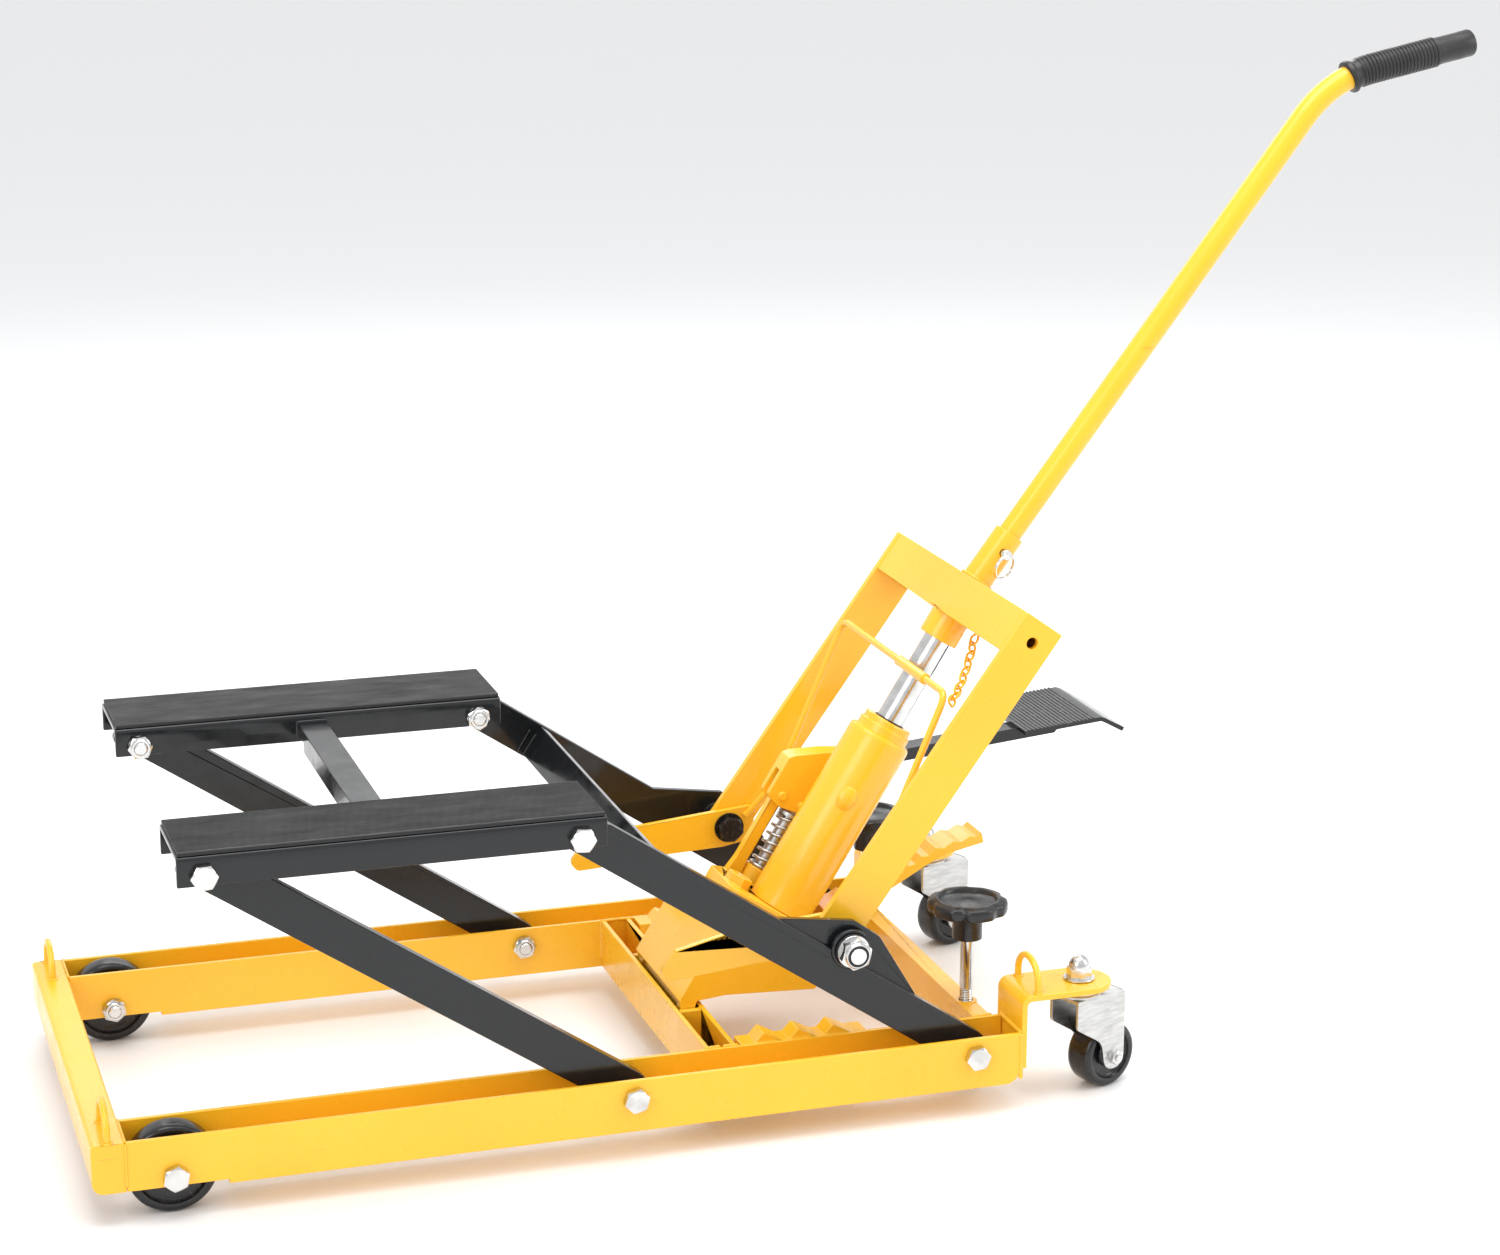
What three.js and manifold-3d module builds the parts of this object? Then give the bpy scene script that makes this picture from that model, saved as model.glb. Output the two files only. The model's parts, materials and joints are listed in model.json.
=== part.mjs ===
// Foot-pumped hydraulic lift jack for motorcycles and ATVs.
// Millimetres. +X runs from the front bar to the handle, +Y to the far side and +Z up.
// While it is drawn, x = 0 is the front bar's outer face. At the end the whole jack is moved so
// that its origin is the centre of its footprint on the floor.
import * as THREE from 'three';
import { mergeVertices } from 'three/addons/utils/BufferGeometryUtils.js';
import Module from 'manifold-3d';

const wasm = await Module();
wasm.setup();

// ---------------------------------------------------------------- driving dimensions
const gap = 0.3; // between faces that meet
const runningGap = 0.4; // round a shaft or pin
const sides = { near: -1, far: 1 };

const baseHalfWidth = 190;
const railWidth = 44;
const railWall = 4;
const railBottom = 22.5;
const railHeight = 40.4;
const railTop = railBottom + railHeight;
const railLength = 700;
const railInner = baseHalfWidth - railWidth; // inner face of a rail's inner wall
const railCorner = 12;
const frontBarDepth = 24;
const wheelRelief = { end: 96, rise: 3 };

// Crossbars, pivots and ram are placed from the rear end, so a longer base has a longer front bay.
const midBar = { x: railLength - 238, width: 25, wall: 4 };
const rearBar = { x: railLength - 22.5, width: 14.5, wall: 3 };
const rack = { start: midBar.x + 28, firstPeak: midBar.x + 46, pitch: 27.5, teeth: 3, rise: 7.5, depth: 23, thickness: 18 };

const boltRadius = 5;
const hexRadius = 9.8;
const headHeight = 6.5;
const nutHeight = 7;

const frontWheel = { x: 58.2, radius: 33, width: 20, y: baseHalfWidth - railWidth / 2 };

const armLength = 373.3;
const armHalfWidth = 15;
const armTipHalfWidth = 9.5;
const armTaper = 25; // from a tip pivot to the start of the cut that clears the saddle's top
const armTaperEnd = 8;
const armSpan = [baseHalfWidth - 28, baseHalfWidth - 17];
const restAngle = THREE.MathUtils.degToRad(33.94);
const pivotHeight = 48.6;
const rearPivotX = railLength - 36.5;
const frontPivotX = rearPivotX - 268.5;
const brace = { fromTip: 69.5, thickness: 6, halfHeight: 14 };

const saddle = { length: 306, frontOverhang: 18.3, outer: baseHalfWidth + 10, width: 80.5, wall: 4, depth: 22.3, pad: 2.7 };
const saddlePivotDrop = 14.6; // the saddle's metal top above its pivots
const saddleBar = { width: 23, height: 18, wall: 4, notch: 8, notchLength: 27 };

const liftPivot = { x: rearPivotX - 96, z: 140, radius: 7, boss: 13, spacer: 11 };
const gussetThickness = 6;
const yokeAngle = THREE.MathUtils.degToRad(35.66);
const yoke = { half: armSpan[0] - 22, leg: 6, legWidth: 35, top: 282, barHeight: 35, barDepth: 34, barWall: 4 };
const handle = { radius: 9.6, wall: 1.8, bend: 98, bendSteps: 12, reach: 125.9, grip: 111 };
const socket = { outer: handle.radius + 2.7, length: 46, floor: 4, pinAt: 30, pinRadius: 3 };
const handleCorner = new THREE.Vector3(railLength + 322.4, 0, 753.8);
const gripAngle = THREE.MathUtils.degToRad(12);
const grip = {
  radius: handle.radius + 2.5,
  collar: handle.radius + 3.8,
  end: handle.radius + 1.3,
  cap: 4,
};

const ramAngle = THREE.MathUtils.degToRad(31.9);
const ramFoot = { x: midBar.x + 107, z: 114 };
const ram = { radius: 26, length: 160, cap: 21.5, capLength: 12.5, rod: 11, rodStart: 66, bore: 8 };
const collar = { radius: 16, start: 248, end: 269.8, bore: 14 };
const cradle = { half: 61, sheet: 4, front: -62, back: 34, foot: -93, top: -26.3 };
const cradlePin = { x: midBar.x + midBar.width / 2, z: 57, radius: 4 };
const pump = { p: -10, y: 48, radius: 6, boss: 12, bossTop: 14, eye: 75, spring: 9, wire: 1.3, coils: 6 };
const pumpPivot = { p: -29, t: 75 };
const lever = { y: [38, 58], slot: [43.5, 52.5], start: [33.9, 135.2], rise: THREE.MathUtils.degToRad(37.2) };
const pedal = { bar: 10, length: 153.7, plate: [117.3, 184.6], y: [18, 112], sheet: 3.5, lip: 21.3, bend: 34 };
const release = { half: 16, sheet: 6, tooth: 2.6, teeth: 12, pivot: [35, 10] };

const bracket = { width: 50, sheet: 4.5, top: 91.7, foot: 34, kingpin: railLength + 57, bend: 8 };
const bracketY = baseHalfWidth - bracket.width / 2;
const loop = { width: 40, height: 26, rod: 2.8 };
const caster = { radius: 26, width: 24, trail: 26, track: 13, sheet: 2.5, plate: 77, race: 17 };
const casterSwivel = { near: THREE.MathUtils.degToRad(21), far: THREE.MathUtils.degToRad(19) };

const floorLock = { x: rearBar.x + rearBar.width / 2, y: 113, stem: 5.2, foot: 13, footBottom: 8, knob: 31, hub: 11.7 };
const knobHeights = { hub: 115, rim: 136, top: 148 };

const lockBar = { outer: yoke.half - yoke.leg - 0.5, thickness: 5 };
const lockWire = { radius: 3, half: 115, topX: liftPivot.x + 95, topZ: 313.6 };

// ---------------------------------------------------------------- materials
const finish = (color, roughness, metalness) => new THREE.MeshStandardMaterial({ color, roughness, metalness });
const yellow = finish(0xf9b91c, 0.35, 0.0);
const black = finish(0x14171a, 0.25, 0.1);
const chrome = finish(0xd8d8d6, 0.12, 1.0);
const zinc = finish(0xb9b9b4, 0.4, 1.0);
const rubber = finish(0x17191a, 0.75, 0.0);
const plastic = finish(0x101112, 0.3, 0.0);

// ---------------------------------------------------------------- solids
function toSolid(geometry) {
  const bare = geometry.clone();
  bare.deleteAttribute('normal');
  bare.deleteAttribute('uv');
  const merged = mergeVertices(bare);
  const vertProperties = new Float32Array(merged.attributes.position.array);
  const triVerts = new Uint32Array(merged.index.array);
  return new wasm.Manifold(new wasm.Mesh({ numProp: 3, vertProperties, triVerts }));
}

function toGeometry(solid) {
  const mesh = solid.getMesh();
  const geometry = new THREE.BufferGeometry();
  geometry.setAttribute('position', new THREE.BufferAttribute(mesh.vertProperties, 3));
  geometry.setIndex(new THREE.BufferAttribute(mesh.triVerts, 1));
  geometry.computeVertexNormals();
  return geometry;
}

const join = (first, ...rest) => toGeometry(rest.reduce((all, g) => all.add(toSolid(g)), toSolid(first)));
const cut = (first, ...rest) => toGeometry(rest.reduce((all, g) => all.subtract(toSolid(g)), toSolid(first)));
const common = (first, second) => toGeometry(toSolid(first).intersect(toSolid(second)));

// [low, high] of a stretch across the jack, given its distances from the middle.
const across = (side, inner, outer) => (side > 0 ? [inner, outer] : [-outer, -inner]);

// A closed outline whose corners are [u, v, radius]; radius 0 or none leaves the corner sharp.
function rounded(corners, steps = 4) {
  const points = [];
  corners.forEach(([u, v, radius = 0], i) => {
    const corner = new THREE.Vector2(u, v);
    if (radius === 0) {
      points.push(corner);
      return;
    }
    const before = corners[(i + corners.length - 1) % corners.length];
    const after = corners[(i + 1) % corners.length];
    const back = new THREE.Vector2(before[0], before[1]).sub(corner).normalize();
    const on = new THREE.Vector2(after[0], after[1]).sub(corner).normalize();
    const half = Math.acos(THREE.MathUtils.clamp(back.dot(on), -1, 1)) / 2;
    const centre = back.clone().add(on).normalize().multiplyScalar(radius / Math.sin(half)).add(corner);
    const start = corner.clone().addScaledVector(back, radius / Math.tan(half)).sub(centre).angle();
    const end = corner.clone().addScaledVector(on, radius / Math.tan(half)).sub(centre).angle();
    const turn = Math.atan2(Math.sin(end - start), Math.cos(end - start));
    for (let k = 0; k <= steps; k += 1) {
      const angle = start + (turn * k) / steps;
      points.push(new THREE.Vector2(Math.cos(angle), Math.sin(angle)).multiplyScalar(radius).add(centre));
    }
  });
  return points;
}

function extrude(corners, depth, holes) {
  const outline = rounded(corners);
  if (THREE.ShapeUtils.isClockWise(outline)) outline.reverse();
  const shape = new THREE.Shape(outline);
  holes.forEach(([u, v, radius]) => {
    const hole = new THREE.Path();
    hole.absarc(u, v, radius, 0, Math.PI * 2, true);
    shape.holes.push(hole);
  });
  return new THREE.ExtrudeGeometry(shape, { depth, bevelEnabled: false, curveSegments: 8 });
}

// An outline in X and Z, with holes [x, z, radius], from low to high along Y.
function plateXZ(corners, [low, high], holes = []) {
  return extrude(corners, high - low, holes).rotateX(Math.PI / 2).translate(0, high, 0);
}

// An outline in Y and Z, from low to high along X.
function plateYZ(corners, [low, high], holes = []) {
  const turn = new THREE.Matrix4().makeBasis(
    new THREE.Vector3(0, 1, 0),
    new THREE.Vector3(0, 0, 1),
    new THREE.Vector3(1, 0, 0),
  );
  return extrude(corners, high - low, holes).applyMatrix4(turn).translate(low, 0, 0);
}

// An outline in X and Y, from low to high along Z.
function plateXY(corners, [low, high], holes = []) {
  return extrude(corners, high - low, holes).translate(0, 0, low);
}

function block([x0, x1], [y0, y1], [z0, z1]) {
  const box = new THREE.BoxGeometry(x1 - x0, y1 - y0, z1 - z0);
  return box.translate((x0 + x1) / 2, (y0 + y1) / 2, (z0 + z1) / 2);
}

function shaft(radius, [low, high], x, z, segments = 20) {
  return new THREE.CylinderGeometry(radius, radius, high - low, segments).translate(x, (low + high) / 2, z);
}

function post(radius, [low, high], x, y, segments = 20) {
  const cylinder = new THREE.CylinderGeometry(radius, radius, high - low, segments);
  return cylinder.rotateX(Math.PI / 2).translate(x, y, (low + high) / 2);
}

// A profile of [radius, height] turned about Z.
function turned(profile, segments = 28) {
  const points = profile.map(([radius, height]) => new THREE.Vector2(radius, height));
  return new THREE.LatheGeometry(points, segments).rotateX(Math.PI / 2);
}

// A line through given points, one sweep step from each to the next.
class Route extends THREE.Curve {
  constructor(points) {
    super();
    this.points = points;
  }

  getPoint(t) {
    const place = THREE.MathUtils.clamp(t, 0, 1) * (this.points.length - 1);
    const index = Math.min(Math.floor(place), this.points.length - 2);
    return this.points[index].clone().lerp(this.points[index + 1], place - index);
  }

  getUtoTmapping(u) {
    return u;
  }
}

// Points along straight runs whose corners are bent to the given radius.
function bent(corners, radius, steps = 5) {
  const points = [corners[0]];
  for (let i = 1; i < corners.length - 1; i += 1) {
    const back = corners[i - 1].clone().sub(corners[i]).normalize();
    const on = corners[i + 1].clone().sub(corners[i]).normalize();
    const reach = radius / Math.tan(back.angleTo(on) / 2);
    const start = corners[i].clone().addScaledVector(back, reach);
    const end = corners[i].clone().addScaledVector(on, reach);
    points.push(...new THREE.QuadraticBezierCurve3(start, corners[i], end).getPoints(steps));
  }
  points.push(corners[corners.length - 1]);
  return points;
}

function sweep(points, radius, sidesOfTube = 10, bore = 0) {
  const section = new THREE.Shape();
  section.absarc(0, 0, radius, 0, Math.PI * 2, false);
  if (bore > 0) {
    const hollow = new THREE.Path();
    hollow.absarc(0, 0, bore, 0, Math.PI * 2, true);
    section.holes.push(hollow);
  }
  const settings = { steps: points.length - 1, bevelEnabled: false, curveSegments: sidesOfTube / 2 };
  return new THREE.ExtrudeGeometry(section, { ...settings, extrudePath: new Route(points) });
}

const vector = (x, y, z) => new THREE.Vector3(x, y, z);

// ---------------------------------------------------------------- the assembly
const jack = new THREE.Group();

function add(name, geometry, material, parent = jack) {
  const mesh = new THREE.Mesh(geometry, material);
  mesh.name = name;
  parent.add(mesh);
  return mesh;
}

// A group whose own Z leans back from vertical by angle, about a point of the side view.
function leaning(x, z, angle) {
  const group = new THREE.Group();
  group.position.set(x, 0, z);
  group.rotation.y = angle;
  group.updateMatrix();
  jack.add(group);
  return group;
}

const yokeFrame = leaning(liftPivot.x, liftPivot.z, yokeAngle);
const handleFoot = vector(0, 0, yoke.top).applyMatrix4(yokeFrame.matrix);
const handleLean = Math.atan2(handleCorner.x - handleFoot.x, handleCorner.z - handleFoot.z);
const handleFrame = leaning(handleFoot.x, handleFoot.z, handleLean);
const ramFrame = leaning(ramFoot.x, ramFoot.z, ramAngle);

// A point of the side view, in millimetres from the drawing's corner, seen in a leaning frame.
function inFrame(frame, x, z) {
  const point = vector(x, 0, z).applyMatrix4(frame.matrix.clone().invert());
  return [point.x, point.z];
}

// A bolt across the jack with its head outside and its lock nut inside, tightened.
function bolt(side, x, z, headFace, nutFace) {
  const tip = nutFace - nutHeight;
  return join(
    shaft(boltRadius, across(side, tip - 3, headFace + 1), x, z, 12),
    shaft(hexRadius, across(side, headFace + gap, headFace + gap + headHeight), x, z, 6),
    shaft(hexRadius, across(side, tip, nutFace - gap), x, z, 6),
    shaft(hexRadius * 0.8, across(side, tip - 1.8, tip + 1), x, z, 12),
  );
}

// An arch of round rod that stands on a face at height foot, its legs apart along Y.
function tieLoop(x, y, foot) {
  const half = loop.width / 2;
  const points = [vector(x, y - half, foot - 1)];
  for (let k = 0; k <= 12; k += 1) {
    const angle = Math.PI - (Math.PI * k) / 12;
    const height = foot + loop.height * (0.35 + 0.65 * Math.sin(angle)) - loop.rod;
    points.push(vector(x, y + half * Math.cos(angle), height));
  }
  points.push(vector(x, y + half, foot - 1));
  return sweep(points, loop.rod, 8);
}

// ---------------------------------------------------------------- base frame
function rail(side) {
  const bottom = railBottom + wheelRelief.rise;
  const start = frontBarDepth + gap;
  const outline = [
    [start, bottom],
    [wheelRelief.end, bottom],
    [wheelRelief.end, railBottom],
    [railLength, railBottom, railCorner],
    [railLength, railTop],
    [start, railTop],
  ];
  const holes = [
    [frontWheel.x, frontWheel.radius, boltRadius + runningGap],
    [frontPivotX, pivotHeight, boltRadius + runningGap],
    [rearPivotX, pivotHeight, boltRadius + runningGap],
  ];
  const inside = across(side, railInner + railWall, baseHalfWidth - railWall);
  const trough = block([0, railLength + 10], inside, [railBottom + railWall, railTop + 10]);
  const wheelWell = block([0, wheelRelief.end], inside, [0, railTop]);
  const channel = cut(plateXZ(outline, across(side, railInner, baseHalfWidth), holes), trough, wheelWell);
  return join(channel, rackTeeth(side));
}

function rackTeeth(side) {
  const corners = [[rack.start, railTop - rack.depth], [rack.start, railTop]];
  for (let i = 0; i < rack.teeth; i += 1) {
    const peak = rack.firstPeak + rack.pitch * i;
    corners.push([peak - 7, railTop], [peak, railTop + rack.rise, 2], [peak + 14, railTop]);
  }
  corners.push([rack.firstPeak + rack.pitch * rack.teeth, railTop]);
  corners.push([rack.firstPeak + rack.pitch * rack.teeth, railTop - rack.depth]);
  return plateXZ(corners, across(side, railInner - rack.thickness, railInner + 1));
}

function frontBar() {
  const bottom = railBottom + wheelRelief.rise;
  const outline = [[0, bottom, 8], [frontBarDepth, bottom], [frontBarDepth, railTop], [0, railTop, 2.5]];
  const solid = plateXZ(outline, [-baseHalfWidth, baseHalfWidth]);
  const inner = baseHalfWidth - railWall;
  const hollow = block([railWall, frontBarDepth - railWall], [-inner, inner], [0, railTop - railWall]);
  const loopY = baseHalfWidth - railWidth / 2 - 1;
  return join(
    cut(solid, hollow),
    tieLoop(frontBarDepth / 2, loopY, railTop),
    tieLoop(frontBarDepth / 2, -loopY, railTop),
  );
}

function middleBar() {
  const end = railInner - gap;
  const [x0, x1] = [midBar.x, midBar.x + midBar.width];
  const inside = [x0 + midBar.wall, x1 - midBar.wall];
  const channel = cut(
    block([x0, x1], [-end, end], [railBottom, railTop]),
    block(inside, [-end - 1, end + 1], [railBottom + midBar.wall, railTop + 1]),
  );
  const webInner = cradle.half + 1;
  const webs = [-1, 1].map((side) =>
    block([x0 + 1, x1 - 1], across(side, webInner, webInner + 5), [railBottom + 1, railTop - 1]),
  );
  return join(channel, ...webs, shaft(cradlePin.radius, [-webInner - 2, webInner + 2], cradlePin.x, cradlePin.z));
}

function rearCrossbar() {
  const end = railInner - gap;
  const [x0, x1] = [rearBar.x, rearBar.x + rearBar.width];
  const tube = cut(
    block([x0, x1], [-end, end], [railBottom, railTop]),
    block(
      [x0 + rearBar.wall, x1 - rearBar.wall],
      [-end - 1, end + 1],
      [railBottom + rearBar.wall, railTop - rearBar.wall],
    ),
  );
  const holes = Object.values(sides).map((side) =>
    post(floorLock.stem + runningGap, [railBottom - 1, railTop + 1], floorLock.x, side * floorLock.y),
  );
  return cut(tube, ...holes);
}

function casterBracket(side) {
  const [x0, x1] = [railLength + gap, bracket.kingpin + bracket.width / 2];
  const inner = baseHalfWidth - bracket.width;
  const under = bracket.top - bracket.sheet;
  const outline = [
    [x0, bracket.foot],
    [x0 + bracket.sheet, bracket.foot],
    [x0 + bracket.sheet, under, bracket.bend - bracket.sheet],
    [x1, under],
    [x1, bracket.top],
    [x0, bracket.top, bracket.bend],
  ];
  const bentStrap = plateXZ(outline, across(side, inner, baseHalfWidth));
  const [low, high] = across(side, inner, baseHalfWidth);
  const round = bracket.width / 2 - 0.01;
  const plan = [[x0 - 1, low], [x1, low, round], [x1, high, round], [x0 - 1, high]];
  const trimmed = common(bentStrap, plateXY(plan, [0, bracket.top + 1]));
  const pinHole = post(boltRadius + gap, [under - 1, bracket.top + 1], bracket.kingpin, side * bracketY);
  return join(cut(trimmed, pinHole), tieLoop(railLength + 14.8, side * bracketY, bracket.top));
}

// Kingpin with its acorn nut above the bracket and its head below the fork.
function kingpin(side) {
  const top = bracket.top + gap;
  const [x, y] = [bracket.kingpin, side * bracketY];
  const body = turned([
    [0, caster.plate - 3.6],
    [8.5, caster.plate - 3.6],
    [8.5, caster.plate - gap],
    [boltRadius, caster.plate - gap],
    [boltRadius, top],
    [12.4, top],
    [12.4, top + 1.8],
    [8.6, top + 2.4],
    [8.6, top + 12.2],
    [7.2, top + 16],
    [4, top + 18.6],
    [0, top + 19.5],
  ], 18);
  return join(body.translate(x, y, 0), post(9.9, [top + 2, top + 10.2], x, y, 6));
}

// ---------------------------------------------------------------- wheels and casters
function wheel(radius, width, bore) {
  const half = width / 2;
  const profile = [
    [bore, -half + 1],
    [bore + 5, -half + 1],
    [bore + 6.5, -half + 2.5],
    [radius - 7, -half + 2.5],
    [radius - 5, -half],
    [radius - 2, -half],
    [radius, -half + 3],
    [radius, half - 3],
    [radius - 2, half],
    [radius - 5, half],
    [radius - 7, half - 2.5],
    [bore + 6.5, half - 2.5],
    [bore + 5, half - 1],
    [bore, half - 1],
    [bore, -half + 1],
  ];
  return new THREE.LatheGeometry(profile.map(([r, y]) => new THREE.Vector2(r, y)), 26);
}

// Fork with its race and axle rivet, in a frame whose Z is the kingpin and whose X is the trail.
function casterFork() {
  const top = caster.plate + 3;
  const under = bracket.top - bracket.sheet - gap;
  const outer = caster.track + caster.sheet;
  const cheek = [
    [-15, top],
    [caster.trail + 10, top, 5],
    [caster.trail + 10, caster.radius - 10, 9.9],
    [caster.trail - 10, caster.radius - 10, 9.9],
    [caster.trail - 14, 40, 14],
    [-15, 57, 5],
  ];
  const bore = post(boltRadius + runningGap, [caster.plate - 1, under + 1], 0, 0);
  const crown = join(
    block([-15, caster.trail + 6], [-outer, outer], [caster.plate, top]),
    post(caster.race, [top - 1, under - 2.4], 0, 0, 24),
    post(caster.race - 3, [under - 3, under], 0, 0, 24),
  );
  const cheeks = [-1, 1].map((side) => plateXZ(cheek, across(side, caster.track, outer)));
  const rivet = shaft(4, [-outer - 2.2, outer + 2.2], caster.trail, caster.radius, 16);
  const heads = [-1, 1].map((side) =>
    shaft(6, across(side, outer - 0.5, outer + 1.2), caster.trail, caster.radius, 16),
  );
  return join(cut(crown, bore), ...cheeks, rivet, ...heads);
}

function casters() {
  for (const [name, side] of Object.entries(sides)) {
    const swivel = new THREE.Group();
    swivel.position.set(bracket.kingpin, side * bracketY, 0);
    swivel.rotation.z = casterSwivel[name];
    jack.add(swivel);
    add(`caster_fork_${name}`, casterFork(), zinc, swivel);
    const roller = add(`caster_wheel_${name}`, wheel(caster.radius, caster.width, 4 + runningGap), plastic, swivel);
    roller.position.set(caster.trail, 0, caster.radius);
  }
}

// ---------------------------------------------------------------- floor locks
function lockScrew(side) {
  const { foot, footBottom, stem } = floorLock;
  return turned([
    [0, footBottom],
    [foot, footBottom],
    [foot, footBottom + 3],
    [stem + 2, footBottom + 6],
    [stem, footBottom + 7],
    [stem, knobHeights.hub + 14],
    [0, knobHeights.hub + 14],
  ], 24).translate(floorLock.x, side * floorLock.y, 0);
}

function handKnob(side) {
  const rim = [];
  const count = 48;
  for (let k = 0; k < count; k += 1) {
    const angle = (2 * Math.PI * k) / count;
    const radius = floorLock.knob - 1.6 * Math.abs(Math.cos(3 * angle)) ** 10 * 2;
    rim.push([radius * Math.cos(angle), radius * Math.sin(angle)]);
  }
  const disc = plateXY(rim, [knobHeights.rim, knobHeights.top]);
  const hub = post(floorLock.hub, [knobHeights.hub, knobHeights.rim + 1], 0, 0, 24);
  const dish = post(floorLock.knob - 9, [knobHeights.top - 3, knobHeights.top + 1], 0, 0, 32);
  const bore = post(floorLock.stem + gap, [knobHeights.hub - 1, knobHeights.hub + 14.4], 0, 0);
  return cut(join(disc, hub), dish, bore).translate(floorLock.x, side * floorLock.y, 0);
}

// ---------------------------------------------------------------- lifting arms
const armDirection = new THREE.Vector2(-Math.cos(restAngle), Math.sin(restAngle));
const armUp = new THREE.Vector2(Math.sin(restAngle), Math.cos(restAngle));

// A point of an arm's side view: u along it from its base pivot, v above its middle line.
function onArm(pivotX, u, v) {
  return [
    pivotX + armDirection.x * u + armUp.x * v,
    pivotHeight + armDirection.y * u + armUp.y * v,
  ];
}

function arm(side, pivotX) {
  const local = [
    [-armHalfWidth, -armHalfWidth, armHalfWidth - 0.1],
    [armLength + armTipHalfWidth, -armHalfWidth, 4],
    [armLength + armTipHalfWidth, armTipHalfWidth, armTipHalfWidth - 0.1],
    [armLength - armTaperEnd, armTipHalfWidth],
    [armLength - armTaper, armHalfWidth],
    [-armHalfWidth, armHalfWidth, armHalfWidth - 0.1],
  ];
  const outline = local.map(([u, v, radius]) => [...onArm(pivotX, u, v), radius]);
  const holes = [0, armLength].map((u) => [...onArm(pivotX, u, 0), boltRadius + runningGap]);
  return plateXZ(outline, across(side, ...armSpan), holes);
}

// Rear arm with the welded gusset and boss that carry the yoke.
function rearArm(side) {
  const { x, z, boss, spacer, radius } = liftPivot;
  const gusset = plateXZ(
    [
      [x - 60, z + 29],
      [x + 5, z + 20, 6],
      [x + 25, z + 5, 8],
      [x + 54, z - 44],
      [x + 34, z - 52],
      [x - 48, z + 8],
    ],
    across(side, armSpan[0], armSpan[0] + gussetThickness),
  );
  const outerBoss = shaft(boss, across(side, armSpan[0] + 1, armSpan[1] + 5), x, z, 28);
  const innerBoss = shaft(spacer, across(side, yoke.half + 0.9, armSpan[0] + 1), x, z, 28);
  const bore = shaft(radius + runningGap, [-baseHalfWidth, baseHalfWidth], x, z);
  return cut(join(arm(side, rearPivotX), gusset, outerBoss, innerBoss), bore);
}

// Stub bolt that carries the yoke, with its lock nut outside the boss.
function liftBolt(side) {
  const { x, z, radius, boss } = liftPivot;
  const face = armSpan[1] + 5 + gap;
  return join(
    shaft(radius, across(side, yoke.half + gap, face + 13.5), x, z),
    shaft(boss - 0.8, across(side, face, face + 1.6), x, z, 28),
    shaft(boss - 0.8, across(side, face + 1, face + 10), x, z, 6),
    shaft(radius + 2.4, across(side, face + 9, face + 12), x, z, 24),
  );
}

function armBrace() {
  const u = armLength - brace.fromTip;
  const half = brace.thickness / 2;
  const corners = [[-1, -1], [1, -1], [1, 1], [-1, 1]].map(([a, b]) =>
    onArm(rearPivotX, u + a * half, b * brace.halfHeight),
  );
  return plateXZ(corners, [-armSpan[0] + gap, armSpan[0] - gap]);
}

// ---------------------------------------------------------------- saddles
const saddleBack = onArm(rearPivotX, armLength, 0);
const saddleFront = onArm(frontPivotX, armLength, 0);
const saddleTop = saddleBack[1] + saddlePivotDrop;
const saddleX = [saddleFront[0] - saddle.frontOverhang, saddleFront[0] - saddle.frontOverhang + saddle.length];

function saddleChannel(side) {
  const inner = saddle.outer - saddle.width;
  const [low, high] = across(side, inner, saddle.outer);
  const bottom = saddleTop - saddle.depth;
  const outline = [
    [low, bottom],
    [low + saddle.wall, bottom],
    [low + saddle.wall, saddleTop - saddle.wall],
    [high - saddle.wall, saddleTop - saddle.wall],
    [high - saddle.wall, bottom],
    [high, bottom],
    [high, saddleTop, 3.5],
    [low, saddleTop, 3.5],
  ];
  const holes = [saddleFront, saddleBack].map(([x, z]) =>
    shaft(boltRadius + runningGap, [low - 1, high + 1], x, z, 16),
  );
  return cut(plateYZ(outline, saddleX), ...holes);
}

function saddlePad(side) {
  const margin = 1.4;
  const [low, high] = across(side, saddle.outer - saddle.width + margin, saddle.outer - margin);
  const length = [saddleX[0] + margin, saddleX[1] - margin];
  return block(length, [low, high], [saddleTop + gap, saddleTop + gap + saddle.pad]);
}

function saddleCrossbar() {
  const middle = (saddleX[0] + saddleX[1]) / 2;
  const end = saddle.outer - saddle.width - gap;
  const top = saddleTop - 6;
  const half = saddleBar.width / 2;
  const inside = half - saddleBar.wall;
  const bottom = top - saddleBar.height;
  const bar = block([middle - half, middle + half], [-end, end], [bottom, top]);
  const hollow = block([middle - inside, middle + inside], [-end - 1, end + 1], [bottom - 1, top - saddleBar.wall]);
  const notches = Object.values(sides).map((side) =>
    block(
      [middle - half - 1, middle + half + 1],
      across(side, end - saddleBar.notchLength, end + 1),
      [bottom - 1, bottom + saddleBar.notch],
    ),
  );
  return cut(bar, hollow, ...notches);
}

// ---------------------------------------------------------------- yoke and handle
function yokeLeg(side) {
  const half = yoke.legWidth / 2;
  const corners = [[-half, -half, half - 0.1], [half, -half, half - 0.1], [half, yoke.top], [-half, yoke.top]];
  const holes = [[0, 0, liftPivot.radius + runningGap], [0, yoke.top - yoke.barHeight / 2, 4.5]];
  return plateXZ(corners, across(side, yoke.half - yoke.leg, yoke.half), holes);
}

// Hex bolt inside a leg: it holds the leg and the lock bar beside it.
function yokeBolt(side) {
  const face = lockBar.outer - lockBar.thickness - gap;
  return join(
    shaft(liftPivot.radius, across(side, face - 1, yoke.half - gap), 0, 0),
    shaft(12.6, across(side, face - 1.6, face), 0, 0, 28),
    shaft(11.2, across(side, face - 8.5, face - 1), 0, 0, 6),
  );
}

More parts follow.
